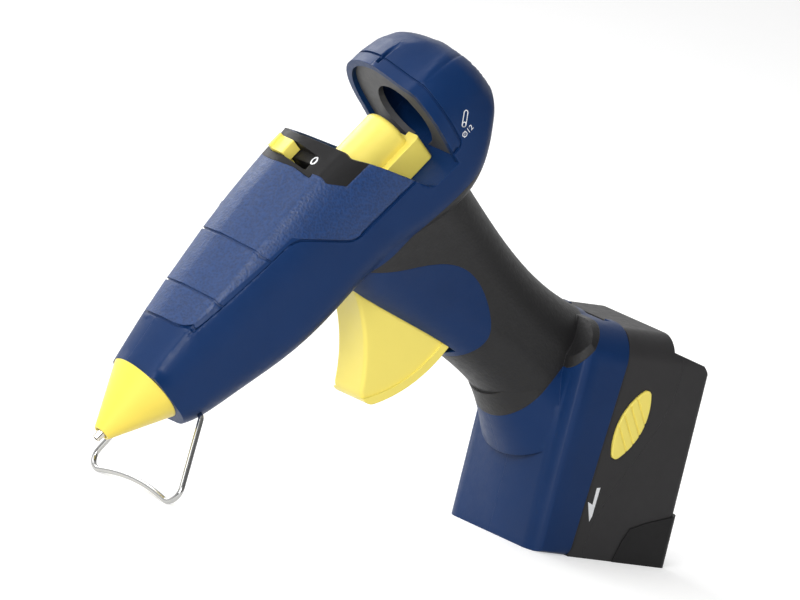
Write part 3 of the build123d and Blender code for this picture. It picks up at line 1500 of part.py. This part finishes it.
def button_grooves(side):
    """Slanted grip grooves across the face of a button."""
    with BuildPart() as cutter:
        with BuildSketch(leaf_plane(side, button_face - BUTTON_GROOVE_DEPTH)):
            with GridLocations(BUTTON_GROOVE_PITCH, 0, BUTTON_GROOVES, 1):
                Rectangle(BUTTON_GROOVE_WIDTH, BUTTON_LENGTH, rotation=-side * BUTTON_GROOVE_TURN)
        extrude(amount=BUTTON_THICKNESS)
    return cutter.part


with BuildPart() as left_release_button:
    add(leaf(0, 1, button_back, button_face))
    fillet(left_release_button.faces().sort_by(Axis.Y)[0].edges(), BUTTON_PROUD / 2)
    add(leaf(BUTTON_FLANGE, 1, button_back, flange_front))
    add(button_grooves(1), mode=Mode.SUBTRACT)
left_release_button.part.label = "left_release_button"
export_step(left_release_button.part, "parts/left_release_button.step")

with BuildPart() as right_release_button:
    add(leaf(0, -1, button_back, button_face))
    fillet(right_release_button.faces().sort_by(Axis.Y)[-1].edges(), BUTTON_PROUD / 2)
    add(leaf(BUTTON_FLANGE, -1, button_back, flange_front))
    add(button_grooves(-1), mode=Mode.SUBTRACT)
right_release_button.part.label = "right_release_button"
export_step(right_release_button.part, "parts/right_release_button.step")

release_pitch = (RELEASE_SPRING_LENGTH - RELEASE_SPRING_WIRE - RUN_GAP) / RELEASE_SPRING_TURNS
with BuildPart() as release_springs:
    spring_seat = rib_face + (RELEASE_SPRING_WIRE + RUN_GAP) / 2
    for side in (-1, 1):
        add(
            coil(
                Plane((BUTTON_MIDDLE_X, side * spring_seat, BUTTON_MIDDLE_Z), z_dir=(0, side, 0)),
                RELEASE_SPRING_RADIUS,
                RELEASE_SPRING_WIRE,
                release_pitch,
                RELEASE_SPRING_TURNS,
            )
        )
release_springs.part.label = "release_springs"
export_step(release_springs.part, "parts/release_springs.step")

with BuildPart() as battery_cells:
    with BuildSketch(Plane.XY.offset(CELL_FRONT)):
        with Locations((CELL_DEPTH, -CELL_PITCH / 2), (CELL_DEPTH, CELL_PITCH / 2)):
            Circle(CELL_DIAMETER / 2)
    extrude(amount=CELL_LENGTH)
battery_cells.part.label = "battery_cells"
export_step(battery_cells.part, "parts/battery_cells.step")

with BuildPart() as battery_contacts:
    add(blades(CLIP_WALL + RUN_GAP, tongue_start, clip_end))
    add(blades(RUN_GAP, tongue_start - OVERSHOOT, clip_end - CLIP_WALL), mode=Mode.SUBTRACT)
battery_contacts.part.label = "battery_contacts"
export_step(battery_contacts.part, "parts/battery_contacts.step")

battery_terminals = blades(0, TONGUE_START - BLADE_ROOT, TONGUE_START + BLADE_REACH - RUN_GAP)
battery_terminals.label = "battery_terminals"
export_step(battery_terminals, "parts/battery_terminals.step")

# Control board in the grip
board_middle = (BOARD_AT, -BOARD_DEPTH)
board_plane = gun_side.offset(BOARD_OFFSET)
with BuildPart() as control_board:
    add(box_at(board_plane, board_middle, (BOARD_WIDTH, BOARD_LENGTH), BOARD_THICKNESS))
    add(box_at(board_plane, board_middle, (CHIP_SIZE, CHIP_SIZE), -CHIP_HEIGHT))
    add(
        cross_rods(
            gun_side,
            [(BOARD_AT - CHIP_SIZE, -BOARD_DEPTH)],
            CAPACITOR_RADIUS,
            BOARD_OFFSET - CAPACITOR_HEIGHT,
            BOARD_OFFSET,
        )
    )
control_board.part.label = "control_board"
export_step(control_board.part, "parts/control_board.step")
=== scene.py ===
"""Looks of the battery glue gun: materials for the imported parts, printed marks, light and camera."""

import json
import math

import bmesh
import bpy
from mathutils import Matrix, Vector
from mathutils.bvhtree import BVHTree


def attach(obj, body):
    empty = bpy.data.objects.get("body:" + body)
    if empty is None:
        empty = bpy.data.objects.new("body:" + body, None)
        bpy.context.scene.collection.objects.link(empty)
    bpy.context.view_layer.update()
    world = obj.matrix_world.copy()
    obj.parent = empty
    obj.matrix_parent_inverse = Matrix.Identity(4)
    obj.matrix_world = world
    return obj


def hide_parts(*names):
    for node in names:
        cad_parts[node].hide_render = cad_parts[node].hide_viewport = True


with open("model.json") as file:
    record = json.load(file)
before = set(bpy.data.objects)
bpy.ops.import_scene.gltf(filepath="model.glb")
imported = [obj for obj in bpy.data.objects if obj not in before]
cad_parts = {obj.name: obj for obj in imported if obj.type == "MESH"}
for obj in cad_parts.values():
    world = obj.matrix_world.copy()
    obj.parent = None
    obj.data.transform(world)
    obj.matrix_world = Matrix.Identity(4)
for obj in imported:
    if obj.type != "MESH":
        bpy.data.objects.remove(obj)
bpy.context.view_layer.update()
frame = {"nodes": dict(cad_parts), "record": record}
nodes = frame["nodes"]
scene = bpy.context.scene
scene.view_settings.view_transform = "Standard"

# The gun's own directions in the shared frame: along the barrel from the tip, and square to it
MM = 0.001
TILT = math.radians(52.5)
TIP = Vector((-0.2305, 0, 0.0164))
REARWARD = Vector((math.cos(TILT), 0, math.sin(TILT)))
UPWARD = Vector((-math.sin(TILT), 0, math.cos(TILT)))
NEAR = Vector((0, -1, 0))


def gun(distance, height, near=0.0):
    """Point from its distance behind the tip, height over the barrel axis and reach to the left, in mm."""
    return TIP + (REARWARD * distance + UPWARD * height + NEAR * near) * MM


def table(along, up, near=0.0):
    """Point from its distance along the table, height over it and reach to the left, in mm."""
    return Vector((along, -near, up)) * MM


# Camera, far off with a long lens, as the photograph was taken
VIEW_RIGHT = Vector((0.7840, -0.5734, 0.2378))
VIEW_UP = Vector((-0.1032, 0.2574, 0.9608))
VIEW_BACK = VIEW_RIGHT.cross(VIEW_UP)
VIEW_CENTRE = Vector((-0.1080, 0.0, 0.0827))
VIEW_DISTANCE = 8.0
PIXELS_PER_METRE = 2700
IMAGE_WIDTH = 800

camera_data = bpy.data.cameras.new("camera")
camera_data.sensor_width = 36.0
camera_data.lens = PIXELS_PER_METRE * VIEW_DISTANCE * camera_data.sensor_width / IMAGE_WIDTH
camera_data.clip_end = 100
camera = bpy.data.objects.new("camera", camera_data)
scene.collection.objects.link(camera)
camera.matrix_world = Matrix((VIEW_RIGHT, VIEW_UP, VIEW_BACK)).transposed().to_4x4()
camera.location = VIEW_CENTRE + VIEW_BACK * VIEW_DISTANCE
scene.camera = camera


# Small helpers for node trees
RANGE_SOCKETS = ("From Min", "From Max", "To Min", "To Max")
CELL_SMOOTHNESS = 0.6
BEVEL_SAMPLES = 6
EDGE_TURN = (0.995, 0.85)


class Tree:
    """A material's node tree with short calls for the nodes that are used here."""

    def __init__(self, name):
        self.material = bpy.data.materials.new(name)
        self.material.use_nodes = True
        self.tree = self.material.node_tree
        self.shader = self.tree.nodes["Principled BSDF"]
        self.place = self.node("ShaderNodeTexCoord").outputs["Object"]

    def node(self, kind, **values):
        made = self.tree.nodes.new(kind)
        for name, value in values.items():
            setattr(made, name, value)
        return made

    def link(self, value, socket):
        if isinstance(value, bpy.types.NodeSocket):
            self.tree.links.new(value, socket)
        else:
            socket.default_value = value

    def math(self, operation, first, second):
        made = self.node("ShaderNodeMath", operation=operation)
        self.link(first, made.inputs[0])
        self.link(second, made.inputs[1])
        return made.outputs[0]

    def along(self, direction):
        """Distance of a surface point behind the tip along a direction, in mm."""
        offset = self.node("ShaderNodeVectorMath", operation="SUBTRACT")
        self.link(self.place, offset.inputs[0])
        offset.inputs[1].default_value = TIP
        dot = self.node("ShaderNodeVectorMath", operation="DOT_PRODUCT")
        self.link(offset.outputs[0], dot.inputs[0])
        dot.inputs[1].default_value = Vector(direction) / MM
        return dot.outputs["Value"]

    def noise(self, size_mm, detail=2.0, roughness=0.5):
        """Noise with features of about a size in mm."""
        made = self.node("ShaderNodeTexNoise")
        made.inputs["Scale"].default_value = 1 / (size_mm * MM)
        made.inputs["Detail"].default_value = detail
        made.inputs["Roughness"].default_value = roughness
        self.link(self.place, made.inputs["Vector"])
        return made.outputs["Fac"]

    def cells(self, size_mm):
        """Pebbled grain with cells of about a size in mm."""
        made = self.node("ShaderNodeTexVoronoi", feature="SMOOTH_F1")
        made.inputs["Scale"].default_value = 1 / (size_mm * MM)
        made.inputs["Smoothness"].default_value = CELL_SMOOTHNESS
        self.link(self.place, made.inputs["Vector"])
        return made.outputs["Distance"]

    def spread(self, value, low, high, new_low, new_high):
        made = self.node("ShaderNodeMapRange")
        self.link(value, made.inputs["Value"])
        for name, number in zip(RANGE_SOCKETS, (low, high, new_low, new_high)):
            self.link(number, made.inputs[name])
        return made.outputs["Result"]

    def mix(self, share, first, second):
        made = self.node("ShaderNodeMix", data_type="RGBA")
        self.link(share, made.inputs[0])
        self.link(first, made.inputs[6])
        self.link(second, made.inputs[7])
        return made.outputs[2]

    def soft_normal(self, radius_mm):
        """Normal that is rounded over the edges within a radius."""
        made = self.node("ShaderNodeBevel", samples=BEVEL_SAMPLES)
        made.inputs["Radius"].default_value = radius_mm * MM
        return made.outputs["Normal"]

    def edges(self, soft):
        """0 on flat faces, rising to 1 on edges, from how far the rounded normal turns."""
        true = self.node("ShaderNodeNewGeometry").outputs["Normal"]
        dot = self.node("ShaderNodeVectorMath", operation="DOT_PRODUCT")
        self.link(soft, dot.inputs[0])
        self.link(true, dot.inputs[1])
        return self.spread(dot.outputs["Value"], *EDGE_TURN, 0.0, 1.0)

    def bump(self, height, distance_mm, normal=None):
        made = self.node("ShaderNodeBump")
        made.inputs["Distance"].default_value = distance_mm * MM
        self.link(height, made.inputs["Height"])
        if normal:
            self.link(normal, made.inputs["Normal"])
        self.link(made.outputs["Normal"], self.shader.inputs["Normal"])


def shade(colour, factor):
    return tuple(min(channel * factor, 1.0) for channel in colour) + (1.0,)


# Moulded finishes: sizes in mm, shares and spreads of the drift in tone and gloss
TONE_DRIFT_MM = 14.0
GLOSS_DRIFT_MM = 3.0
GLOSS_SPREAD = 0.05
CELL_RATIO = 1.6
CELL_SHARE = 0.6
EDGE_WEAR = 0.30
EDGE_TONE = 1.8
# Painted highlight on the leather grain's crests: how much of it, and how much lighter than the navy
CREST_HIGHLIGHT_SHARE = 0.30
CREST_HIGHLIGHT_TONE = 2.6
CREASE_RATIO = 1.4
PANEL_ROUGHER = 0.06


def moulded(name, colour, roughness, grain_mm, depth_mm, edge_mm=0.35, drift=0.10, specular=0.3, mask=None):
    """Moulded plastic or rubber: spark-eroded grain, drift in colour and gloss, edges rubbed lighter.

    With a mask, a panel of the surface carries a coarser leather-like grain, with a painted highlight
    lightening the crests of that grain.
    """
    tree = Tree(name)
    soft = tree.soft_normal(edge_mm)
    tone = tree.mix(tree.noise(TONE_DRIFT_MM, 3.0), shade(colour, 1 - drift), shade(colour, 1 + drift))
    pits = tree.math("MULTIPLY", tree.cells(grain_mm * CELL_RATIO), CELL_SHARE)
    grain = tree.math("ADD", tree.noise(grain_mm, 3.0, 0.65), pits)
    gloss = tree.spread(
        tree.noise(GLOSS_DRIFT_MM, 4.0), 0.3, 0.7, roughness - GLOSS_SPREAD, roughness + GLOSS_SPREAD
    )
    shine = specular
    if mask:
        panel = mask(tree)
        pebbles = tree.math("MULTIPLY", tree.cells(LEATHER_MM), LEATHER_DEPTH)
        creases = tree.math("MULTIPLY", tree.noise(LEATHER_MM * CREASE_RATIO, 3.0, 0.7), LEATHER_DEPTH)
        leather = tree.math("ADD", pebbles, creases)
        grain = tree.math("ADD", grain, tree.math("MULTIPLY", leather, panel))
        # Painted highlight: the crests of the leather grain are lightened, standing in for light catching the
        # grain
        crest_highlights = tree.spread(leather, LEATHER_DEPTH * 0.7, LEATHER_DEPTH * 1.2, 0.0, CREST_HIGHLIGHT_SHARE)
        tone = tree.mix(tree.math("MULTIPLY", crest_highlights, panel), tone, shade(colour, CREST_HIGHLIGHT_TONE))
        gloss = tree.math("ADD", gloss, tree.math("MULTIPLY", panel, PANEL_ROUGHER))
        shine = tree.spread(panel, 0.0, 1.0, specular, PANEL_SHINE)
    tone = tree.mix(tree.math("MULTIPLY", tree.edges(soft), EDGE_WEAR), tone, shade(colour, EDGE_TONE))
    tree.link(tone, tree.shader.inputs["Base Color"])
    tree.link(gloss, tree.shader.inputs["Roughness"])
    tree.link(shine, tree.shader.inputs["Specular IOR Level"])
    tree.bump(grain, depth_mm, soft)
    return tree.material


def plain(name, colour, roughness, metallic=0.0, grain_mm=0.6, depth_mm=0.01, drift=0.08):
    """Metal, ceramic, ink and other pieces, with fine marks from how they were worked."""
    tree = Tree(name)
    mark = tree.noise(grain_mm, 4.0, 0.6)
    tone = tree.mix(mark, shade(colour, 1 - drift), shade(colour, 1 + drift))
    gloss = tree.spread(mark, 0.25, 0.75, max(0.03, roughness - 0.07), roughness + 0.07)
    tree.link(tone, tree.shader.inputs["Base Color"])
    tree.link(gloss, tree.shader.inputs["Roughness"])
    tree.shader.inputs["Metallic"].default_value = metallic
    tree.bump(mark, depth_mm)
    return tree.material


# Textured side panels of the barrel, bounded as the grooves are
PANEL_AT = 48.5
PANEL_HEIGHT = 14.0
PANEL_SLANT = math.tan(math.radians(18.0))
PANEL_DROP = (100.0, 118.0)
PANEL_FALL = 19.2
PANEL_END = 156.0
PANEL_BLEND = 0.5
LEATHER_MM = 0.95
LEATHER_DEPTH = 2.8
PANEL_SHINE = 0.46


def side_panel(tree):
    """1 on the upper side panels and 0 elsewhere."""
    distance = tree.along(REARWARD)
    height = tree.along(UPWARD)
    over = tree.math("SUBTRACT", height, PANEL_HEIGHT)
    slanted = tree.math("ADD", distance, tree.math("MULTIPLY", over, PANEL_SLANT))
    behind = tree.spread(slanted, PANEL_AT, PANEL_AT + PANEL_BLEND, 0.0, 1.0)
    fall = tree.spread(distance, *PANEL_DROP, 0.0, PANEL_FALL)
    above = tree.spread(tree.math("ADD", over, fall), 0.0, PANEL_BLEND, 0.0, 1.0)
    before = tree.spread(distance, PANEL_END - PANEL_BLEND, PANEL_END, 1.0, 0.0)
    return tree.math("MULTIPLY", tree.math("MULTIPLY", behind, above), before)


NAVY = (0.0035, 0.0245, 0.0960)
YELLOW = (0.930, 0.775, 0.150)
BLACK = (0.0145, 0.0142, 0.0148)
CHARCOAL = (0.030, 0.029, 0.030)
WHITE_INK = (0.80, 0.81, 0.83)

finishes = {
    "navy_plastic": moulded("navy_plastic", NAVY, 0.42, 0.42, 0.03, specular=0.18, mask=side_panel),
    "grip_rubber": moulded("grip_rubber", BLACK, 0.46, 0.9, 0.09, 0.4, specular=0.28),
    "black_plastic": moulded("black_plastic", BLACK, 0.46, 0.35, 0.02, 0.25, specular=0.15),
    "battery_plastic": moulded("battery_plastic", CHARCOAL, 0.50, 0.4, 0.03, 0.35, specular=0.2),
    "grey_liner": moulded("grey_liner", (0.075, 0.076, 0.082), 0.5, 0.5, 0.02, 0.2),
    "yellow_plastic": moulded("yellow_plastic", YELLOW, 0.34, 0.7, 0.008, 0.35, 0.03, 0.45),
    "yellow_silicone": moulded("yellow_silicone", (0.83, 0.655, 0.085), 0.38, 0.6, 0.012, 0.35, 0.04, 0.45),
    "silicone": plain("silicone", (0.48, 0.09, 0.05), 0.6),
    "brass_nozzle": plain("brass_nozzle", (0.62, 0.58, 0.50), 0.24, 1.0, 0.5, 0.01, 0.12),
    "cast_aluminium": plain("cast_aluminium", (0.60, 0.61, 0.62), 0.45, 1.0, 0.5, 0.04),
    "ceramic_heater": plain("ceramic_heater", (0.72, 0.70, 0.66), 0.5),
    "bright_wire": plain("bright_wire", (0.46, 0.46, 0.455), 0.20, 1.0, 0.5, 0.003, 0.06),
    "steel": plain("steel", (0.52, 0.52, 0.53), 0.28, 1.0, 0.4, 0.006),
    "contact_brass": plain("contact_brass", (0.78, 0.58, 0.25), 0.25, 1.0, 0.4, 0.004),
    "cell_wrap": plain("cell_wrap", (0.03, 0.18, 0.12), 0.3, 0.0, 1.5, 0.01),
    "board_green": plain("board_green", (0.01, 0.085, 0.03), 0.35, 0.0, 0.8, 0.01),
}
white_ink = plain("white_ink", WHITE_INK, 0.5, 0.0, 0.4, 0.005, 0.03)

slot_of = {row["node"]: row["material_slot"] for row in frame["record"]["subparts"]}
for name, piece in nodes.items():
    piece.data.materials.clear()
    piece.data.materials.append(finishes[slot_of[name]])

# The shell: finer copies of its pieces, with the shoulders arched and the hood's back rounded
SECTIONS = (
    (28.0, 16.5, 15.0), (45.0, 18.9, 18.7), (60.0, 20.8, 21.5), (75.0, 22.5, 23.8), (90.0, 23.9, 25.9),
    (105.0, 24.8, 27.6), (120.0, 25.4, 28.6), (150.0, 27.0, 28.6), (171.0, 28.0, 27.4), (178.0, 27.9, 27.1),
    (185.0, 27.2, 25.5), (191.5, 25.8, 22.3), (198.5, 23.5, 17.0),
)
SHELL_START = (27.0, 31.0)
SHELL_END = 198.5
SHELL_ARCH = 2.25
SHELL_LOWEST = (-20.0, -4.0)
BACK_ROUND = 8.0
CORE_RADIUS = 11.2
SHELL_EDGE = 2.0 * MM
SLIVER = 0.02 * MM
SKIN_DEPTH = 0.34
SKIN_PASSES = 8
FINER_PASSES = 6
SKIN_STEPS = (-1.6, 0.0, 1.6)
RAY_START = 60 * MM
GOAL_LEAST = CORE_RADIUS + 0.6
SHARP = math.radians(50)
SHELL_NODES = ("left_housing", "right_housing", "hood_liner", "switch_plate", "chamber_mounts")


def joined(names):
    """One bmesh of several nodes."""
    work = bmesh.new()
    for name in names:
        work.from_mesh(nodes[name].data)
    return work


shell_solid = joined(["left_housing", "right_housing", "switch_plate"])
shell_skin = BVHTree.FromBMesh(shell_solid)
shell_solid.free()


def share(value, low, high):
    return min(max((value - low) / (high - low), 0.0), 1.0)


def section(distance):
    """Half width and height of the shell at a distance behind the tip, in mm."""
    for (start, *first), (end, *second) in zip(SECTIONS, SECTIONS[1:]):
        if distance <= end:
            break
    part = share(distance, start, end)
    return [low + (high - low) * part for low, high in zip(first, second)]


def skin_radius(distance, outward):
    """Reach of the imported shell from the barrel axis, over its grooves, in mm."""
    reaches = []
    for step in SKIN_STEPS:
        level = min(distance + step, SHELL_END - 0.1)
        hit = shell_skin.ray_cast(gun(level, 0) + outward * RAY_START, -outward)[0]
        if hit:
            reaches.append((hit - gun(level, 0)).dot(outward) / MM)
    return max(reaches, default=0.0)


def eased(point):
    """Where a point of the shell goes as its shoulder is arched and its back rounded, and its depth in mm."""
    offset = (point - TIP) / MM
    distance = offset.dot(REARWARD)
    height = offset.dot(UPWARD)
    radius = math.hypot(height, offset.y)
    upper = share(height, *SHELL_LOWEST)
    past = share(distance, SHELL_END - BACK_ROUND, SHELL_END)
    if distance < SHELL_START[0] or radius < CORE_RADIUS or upper + past == 0:
        return point, SKIN_DEPTH
    outward = (UPWARD * height + Vector((0, offset.y, 0))) / radius
    reach = skin_radius(distance, outward)
    if reach <= CORE_RADIUS or radius > reach + 1:
        return point, SKIN_DEPTH
    wide, high = section(distance)
    arch = (abs(offset.y) / radius / wide) ** SHELL_ARCH + (max(height, 0) / radius / high) ** SHELL_ARCH
    arched = max(arch, 1e-9) ** (-1 / SHELL_ARCH)
    cut = max(reach - arched, 0) * share(distance, *SHELL_START) * upper
    cut += BACK_ROUND * (1 - math.sqrt(1 - past * past))
    goal = max(reach - cut, GOAL_LEAST)
    moved = CORE_RADIUS + (radius - CORE_RADIUS) * (goal - CORE_RADIUS) / (reach - CORE_RADIUS)
    return point + outward * (moved - radius) * MM, reach - radius


def on_shell(vert):
    offset = (vert.co - TIP) / MM
    return offset.dot(REARWARD) > SHELL_START[0] and offset.dot(UPWARD) > SHELL_LOWEST[0]


def rounder(name):
    """Copy of a node with the shell's rounding."""
    work = joined([name])
    bmesh.ops.remove_doubles(work, verts=work.verts, dist=1e-6)
    for _ in range(FINER_PASSES):
        shell = [edge for edge in work.edges if all(map(on_shell, edge.verts))]
        coarse = [edge for edge in shell if edge.calc_length() > SHELL_EDGE]
        bmesh.ops.subdivide_edges(work, edges=coarse, cuts=1)
        bmesh.ops.triangulate(work, faces=[face for face in work.faces if len(face.verts) > 3])
    bmesh.ops.dissolve_degenerate(work, edges=work.edges, dist=SLIVER)
    depths = {}
    for vert in work.verts:
        vert.co, depths[vert] = eased(vert.co)
    near_skin = {vert for vert in work.verts if depths[vert] < SKIN_DEPTH}
    smooth = [
        vert for vert in work.verts
        if vert in near_skin and all(edge.other_vert(vert) in near_skin for edge in vert.link_edges)
    ]
    for _ in range(SKIN_PASSES):
        bmesh.ops.smooth_vert(
            work, verts=smooth, factor=0.5, use_axis_x=True, use_axis_y=True, use_axis_z=True
        )
    for face in work.faces:
        face.smooth = True
    for edge in work.edges:
        edge.smooth = edge.calc_face_angle(0) < SHARP
    mesh = bpy.data.meshes.new(name + "_rounded")
    work.to_mesh(mesh)
    work.free()
    mesh.materials.append(finishes[slot_of[name]])
    piece = bpy.data.objects.new(name + "_rounded", mesh)
    scene.collection.objects.link(piece)
    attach(piece, "gun")
    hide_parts(name)
    return piece


rounded = {name: rounder(name) for name in SHELL_NODES}

# Printed marks: flat outlines laid on the surface below them
INK_SINK = 0.02 * MM
INK_PROUD = 0.05 * MM
INK_START = 0.05


def filled(curve):
    """Mesh of a filled flat curve, which is then no longer needed."""
    holder = bpy.data.objects.new("outline", curve)
    scene.collection.objects.link(holder)
    bpy.context.view_layer.update()
    mesh = bpy.data.meshes.new_from_object(holder.evaluated_get(bpy.context.evaluated_depsgraph_get()))
    bpy.data.objects.remove(holder)
    return mesh


def outlines(*loops):
    """Mesh of closed outlines in mm, each a list of points; one inside another is a hole."""
    curve = bpy.data.curves.new("outline", "CURVE")
    curve.dimensions = "2D"
    curve.fill_mode = "BOTH"
    for loop in loops:
        spline = curve.splines.new("POLY")
        spline.points.add(len(loop) - 1)
        for point, (x, y) in zip(spline.points, loop):
            point.co = (x, y, 0, 1)
        spline.use_cyclic_u = True
    return filled(curve)


def lettering(text, height_mm):
    """Mesh of a line of figures, with its middle at the origin, in mm."""
    curve = bpy.data.curves.new("figures", "FONT")
    curve.body = text
    curve.size = height_mm / 0.7
    curve.align_x = "CENTER"
    curve.align_y = "CENTER"
    return filled(curve)


def capsule(length, radius, steps=12):
    """Outline of a bar with round ends along x, in mm."""
    points = []
    for end, start in ((length / 2, -90), (-length / 2, 90)):
        for step in range(steps + 1):
            angle = math.radians(start + 180 * step / steps)
            points.append((end + radius * math.cos(angle), radius * math.sin(angle)))
    return points


def oval(half_length, half_width, steps=40):
    """Outline of an oval along x, in mm."""
    turns = [2 * math.pi * step / steps for step in range(steps)]
    return [(half_length * math.cos(turn), half_width * math.sin(turn)) for turn in turns]


def printed(name, mesh, origin, along, up, under, body):
    """Lay a flat mesh on a node: its x and y run along two directions from an origin over the surface."""
    out = along.cross(up)
    solid = bmesh.new()
    solid.from_mesh(rounded.get(under, nodes[under]).data)
    skin = BVHTree.FromBMesh(solid)
    solid.free()
    ink = bmesh.new()
    ink.from_mesh(mesh)
    bmesh.ops.remove_doubles(ink, verts=ink.verts, dist=1e-4)
    bmesh.ops.subdivide_edges(ink, edges=ink.edges, cuts=1, use_grid_fill=True)
    for vert in ink.verts:
        over = origin + (along * vert.co.x + up * vert.co.y) * MM + out * INK_START
        hit = skin.ray_cast(over, -out)[0]
        vert.co = hit - out * INK_SINK
    lifted = bmesh.ops.extrude_face_region(ink, geom=ink.faces[:])["geom"]
    for part in lifted:
        if isinstance(part, bmesh.types.BMVert):
            part.co += out * (INK_SINK + INK_PROUD)
    bmesh.ops.recalc_face_normals(ink, faces=ink.faces)
    laid = bpy.data.meshes.new(name)
    ink.to_mesh(laid)
    ink.free()
    laid.materials.append(white_ink)
    piece = bpy.data.objects.new(name, laid)
    scene.collection.objects.link(piece)
    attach(piece, body)
    return piece


# The figure beside the switch
off_ring = outlines(oval(1.9, 1.45), oval(1.25, 0.8))
printed("off_mark", off_ring, gun(127.6, 24.0, 11.6), REARWARD, -NEAR, "switch_plate", "gun")

# The stick's pictogram and its size, on the hood
STICK_LENGTH = 4.4
STICK_OUTER = 1.1
STICK_INNER = 0.7
STICK_PLACE = gun(179.4, -0.8, 28)
STICK_LEAN = math.radians(40)
stick_along = REARWARD * math.cos(STICK_LEAN) + UPWARD * math.sin(STICK_LEAN)
stick_up = UPWARD * math.cos(STICK_LEAN) - REARWARD * math.sin(STICK_LEAN)
stick_bar = outlines(capsule(STICK_LENGTH, STICK_OUTER), capsule(STICK_LENGTH, STICK_INNER))
printed("stick_mark", stick_bar, STICK_PLACE, stick_along, stick_up, "left_housing", "gun")
stick_ring = outlines(oval(STICK_OUTER, STICK_OUTER), oval(STICK_INNER, STICK_INNER))
stick_face = STICK_PLACE - stick_along * (STICK_LENGTH / 2) * MM
printed("stick_end", stick_ring, stick_face, stick_along, stick_up, "left_housing", "gun")
size_figures = lettering("Ø12", 2.2)
printed("stick_size", size_figures, gun(177.3, -5.6, 28), REARWARD, UPWARD, "left_housing", "gun")

# The half arrow on the battery
ARROW = [(-19.0, 27.1), (-17.4, 27.4), (-18.0, 16.2), (-18.7, 14.1), (-21.5, 21.5), (-19.1, 20.6)]
RIGHT = Vector((1, 0, 0))
UP = Vector((0, 0, 1))
printed("slide_arrow", outlines(ARROW), table(0, 0, 29), RIGHT, UP, "battery_case_upper", "battery")

# Light: a room that is brighter behind and above the gun, a key over the nose, a front fill and a rim light
ROOM_LIGHT = (0.22, 0.95)
ROOM_FADE = (-0.2, 0.8)
ROOM_BRIGHT_TOWARDS = (VIEW_UP * 0.55 - VIEW_BACK * 0.75 - VIEW_RIGHT * 0.35).normalized()
world = bpy.data.worlds.new("room")
scene.world = world
world.use_nodes = True
background = world.node_tree.nodes["Background"]
background.inputs["Color"].default_value = (1, 1, 1, 1)
direction = world.node_tree.nodes.new("ShaderNodeTexCoord")
backward = world.node_tree.nodes.new("ShaderNodeVectorMath")
backward.operation = "DOT_PRODUCT"
backward.inputs[1].default_value = ROOM_BRIGHT_TOWARDS
fade = world.node_tree.nodes.new("ShaderNodeMapRange")
for socket, number in zip(RANGE_SOCKETS, (*ROOM_FADE, *ROOM_LIGHT)):
    fade.inputs[socket].default_value = number
world.node_tree.links.new(direction.outputs["Generated"], backward.inputs[0])
world.node_tree.links.new(backward.outputs["Value"], fade.inputs["Value"])
world.node_tree.links.new(fade.outputs["Result"], background.inputs["Strength"])


def lamp(name, right, up, back, size, power):
    """Soft round lamp at a place given along the camera's directions from the middle of the view."""
    data = bpy.data.lights.new(name, "AREA")
    data.shape = "DISK"
    data.size = size
    data.energy = power
    made = bpy.data.objects.new(name, data)
    scene.collection.objects.link(made)
    offset = VIEW_RIGHT * right + VIEW_UP * up + VIEW_BACK * back
    made.location = VIEW_CENTRE + offset
    made.rotation_mode = "QUATERNION"
    made.rotation_quaternion = (-offset).to_track_quat("-Z", "Y")


lamp("key", -0.75, 1.05, 0.45, 0.9, 6)
lamp("front", -0.20, 0.30, 1.20, 0.6, 11)
lamp("rim", -0.55, 1.00, -0.75, 0.9, 9)

# Floor: pale, white to the camera where it is lit, and it keeps the shadow
FLOOR_REACH = 30.0
FLOOR_GLOW = 0.38
FLOOR_DRIFT_MM = 40.0
FLOOR_TONES = ((0.80, 0.80, 0.80, 1), (0.82, 0.82, 0.82, 1))
corners = [(-1, -1), (1, -1), (1, 1), (-1, 1)]
floor_mesh = bpy.data.meshes.new("floor")
floor_mesh.from_pydata([(x * FLOOR_REACH, y * FLOOR_REACH, 0) for x, y in corners], [], [(0, 1, 2, 3)])
floor = bpy.data.objects.new("floor", floor_mesh)
scene.collection.objects.link(floor)
floor_tree = Tree("floor")
floor_tone = floor_tree.mix(floor_tree.noise(FLOOR_DRIFT_MM), *FLOOR_TONES)
floor_tree.link(floor_tone, floor_tree.shader.inputs["Base Color"])
floor_tree.shader.inputs["Roughness"].default_value = 0.9
path = floor_tree.node("ShaderNodeLightPath")
seen = floor_tree.math("MAXIMUM", path.outputs["Is Camera Ray"], path.outputs["Is Glossy Ray"])
seen = floor_tree.math("MAXIMUM", seen, path.outputs["Is Transmission Ray"])
floor_tree.shader.inputs["Emission Color"].default_value = (1, 1, 1, 1)
glow = floor_tree.math("MULTIPLY", seen, FLOOR_GLOW)
floor_tree.link(glow, floor_tree.shader.inputs["Emission Strength"])
floor_mesh.materials.append(floor_tree.material)
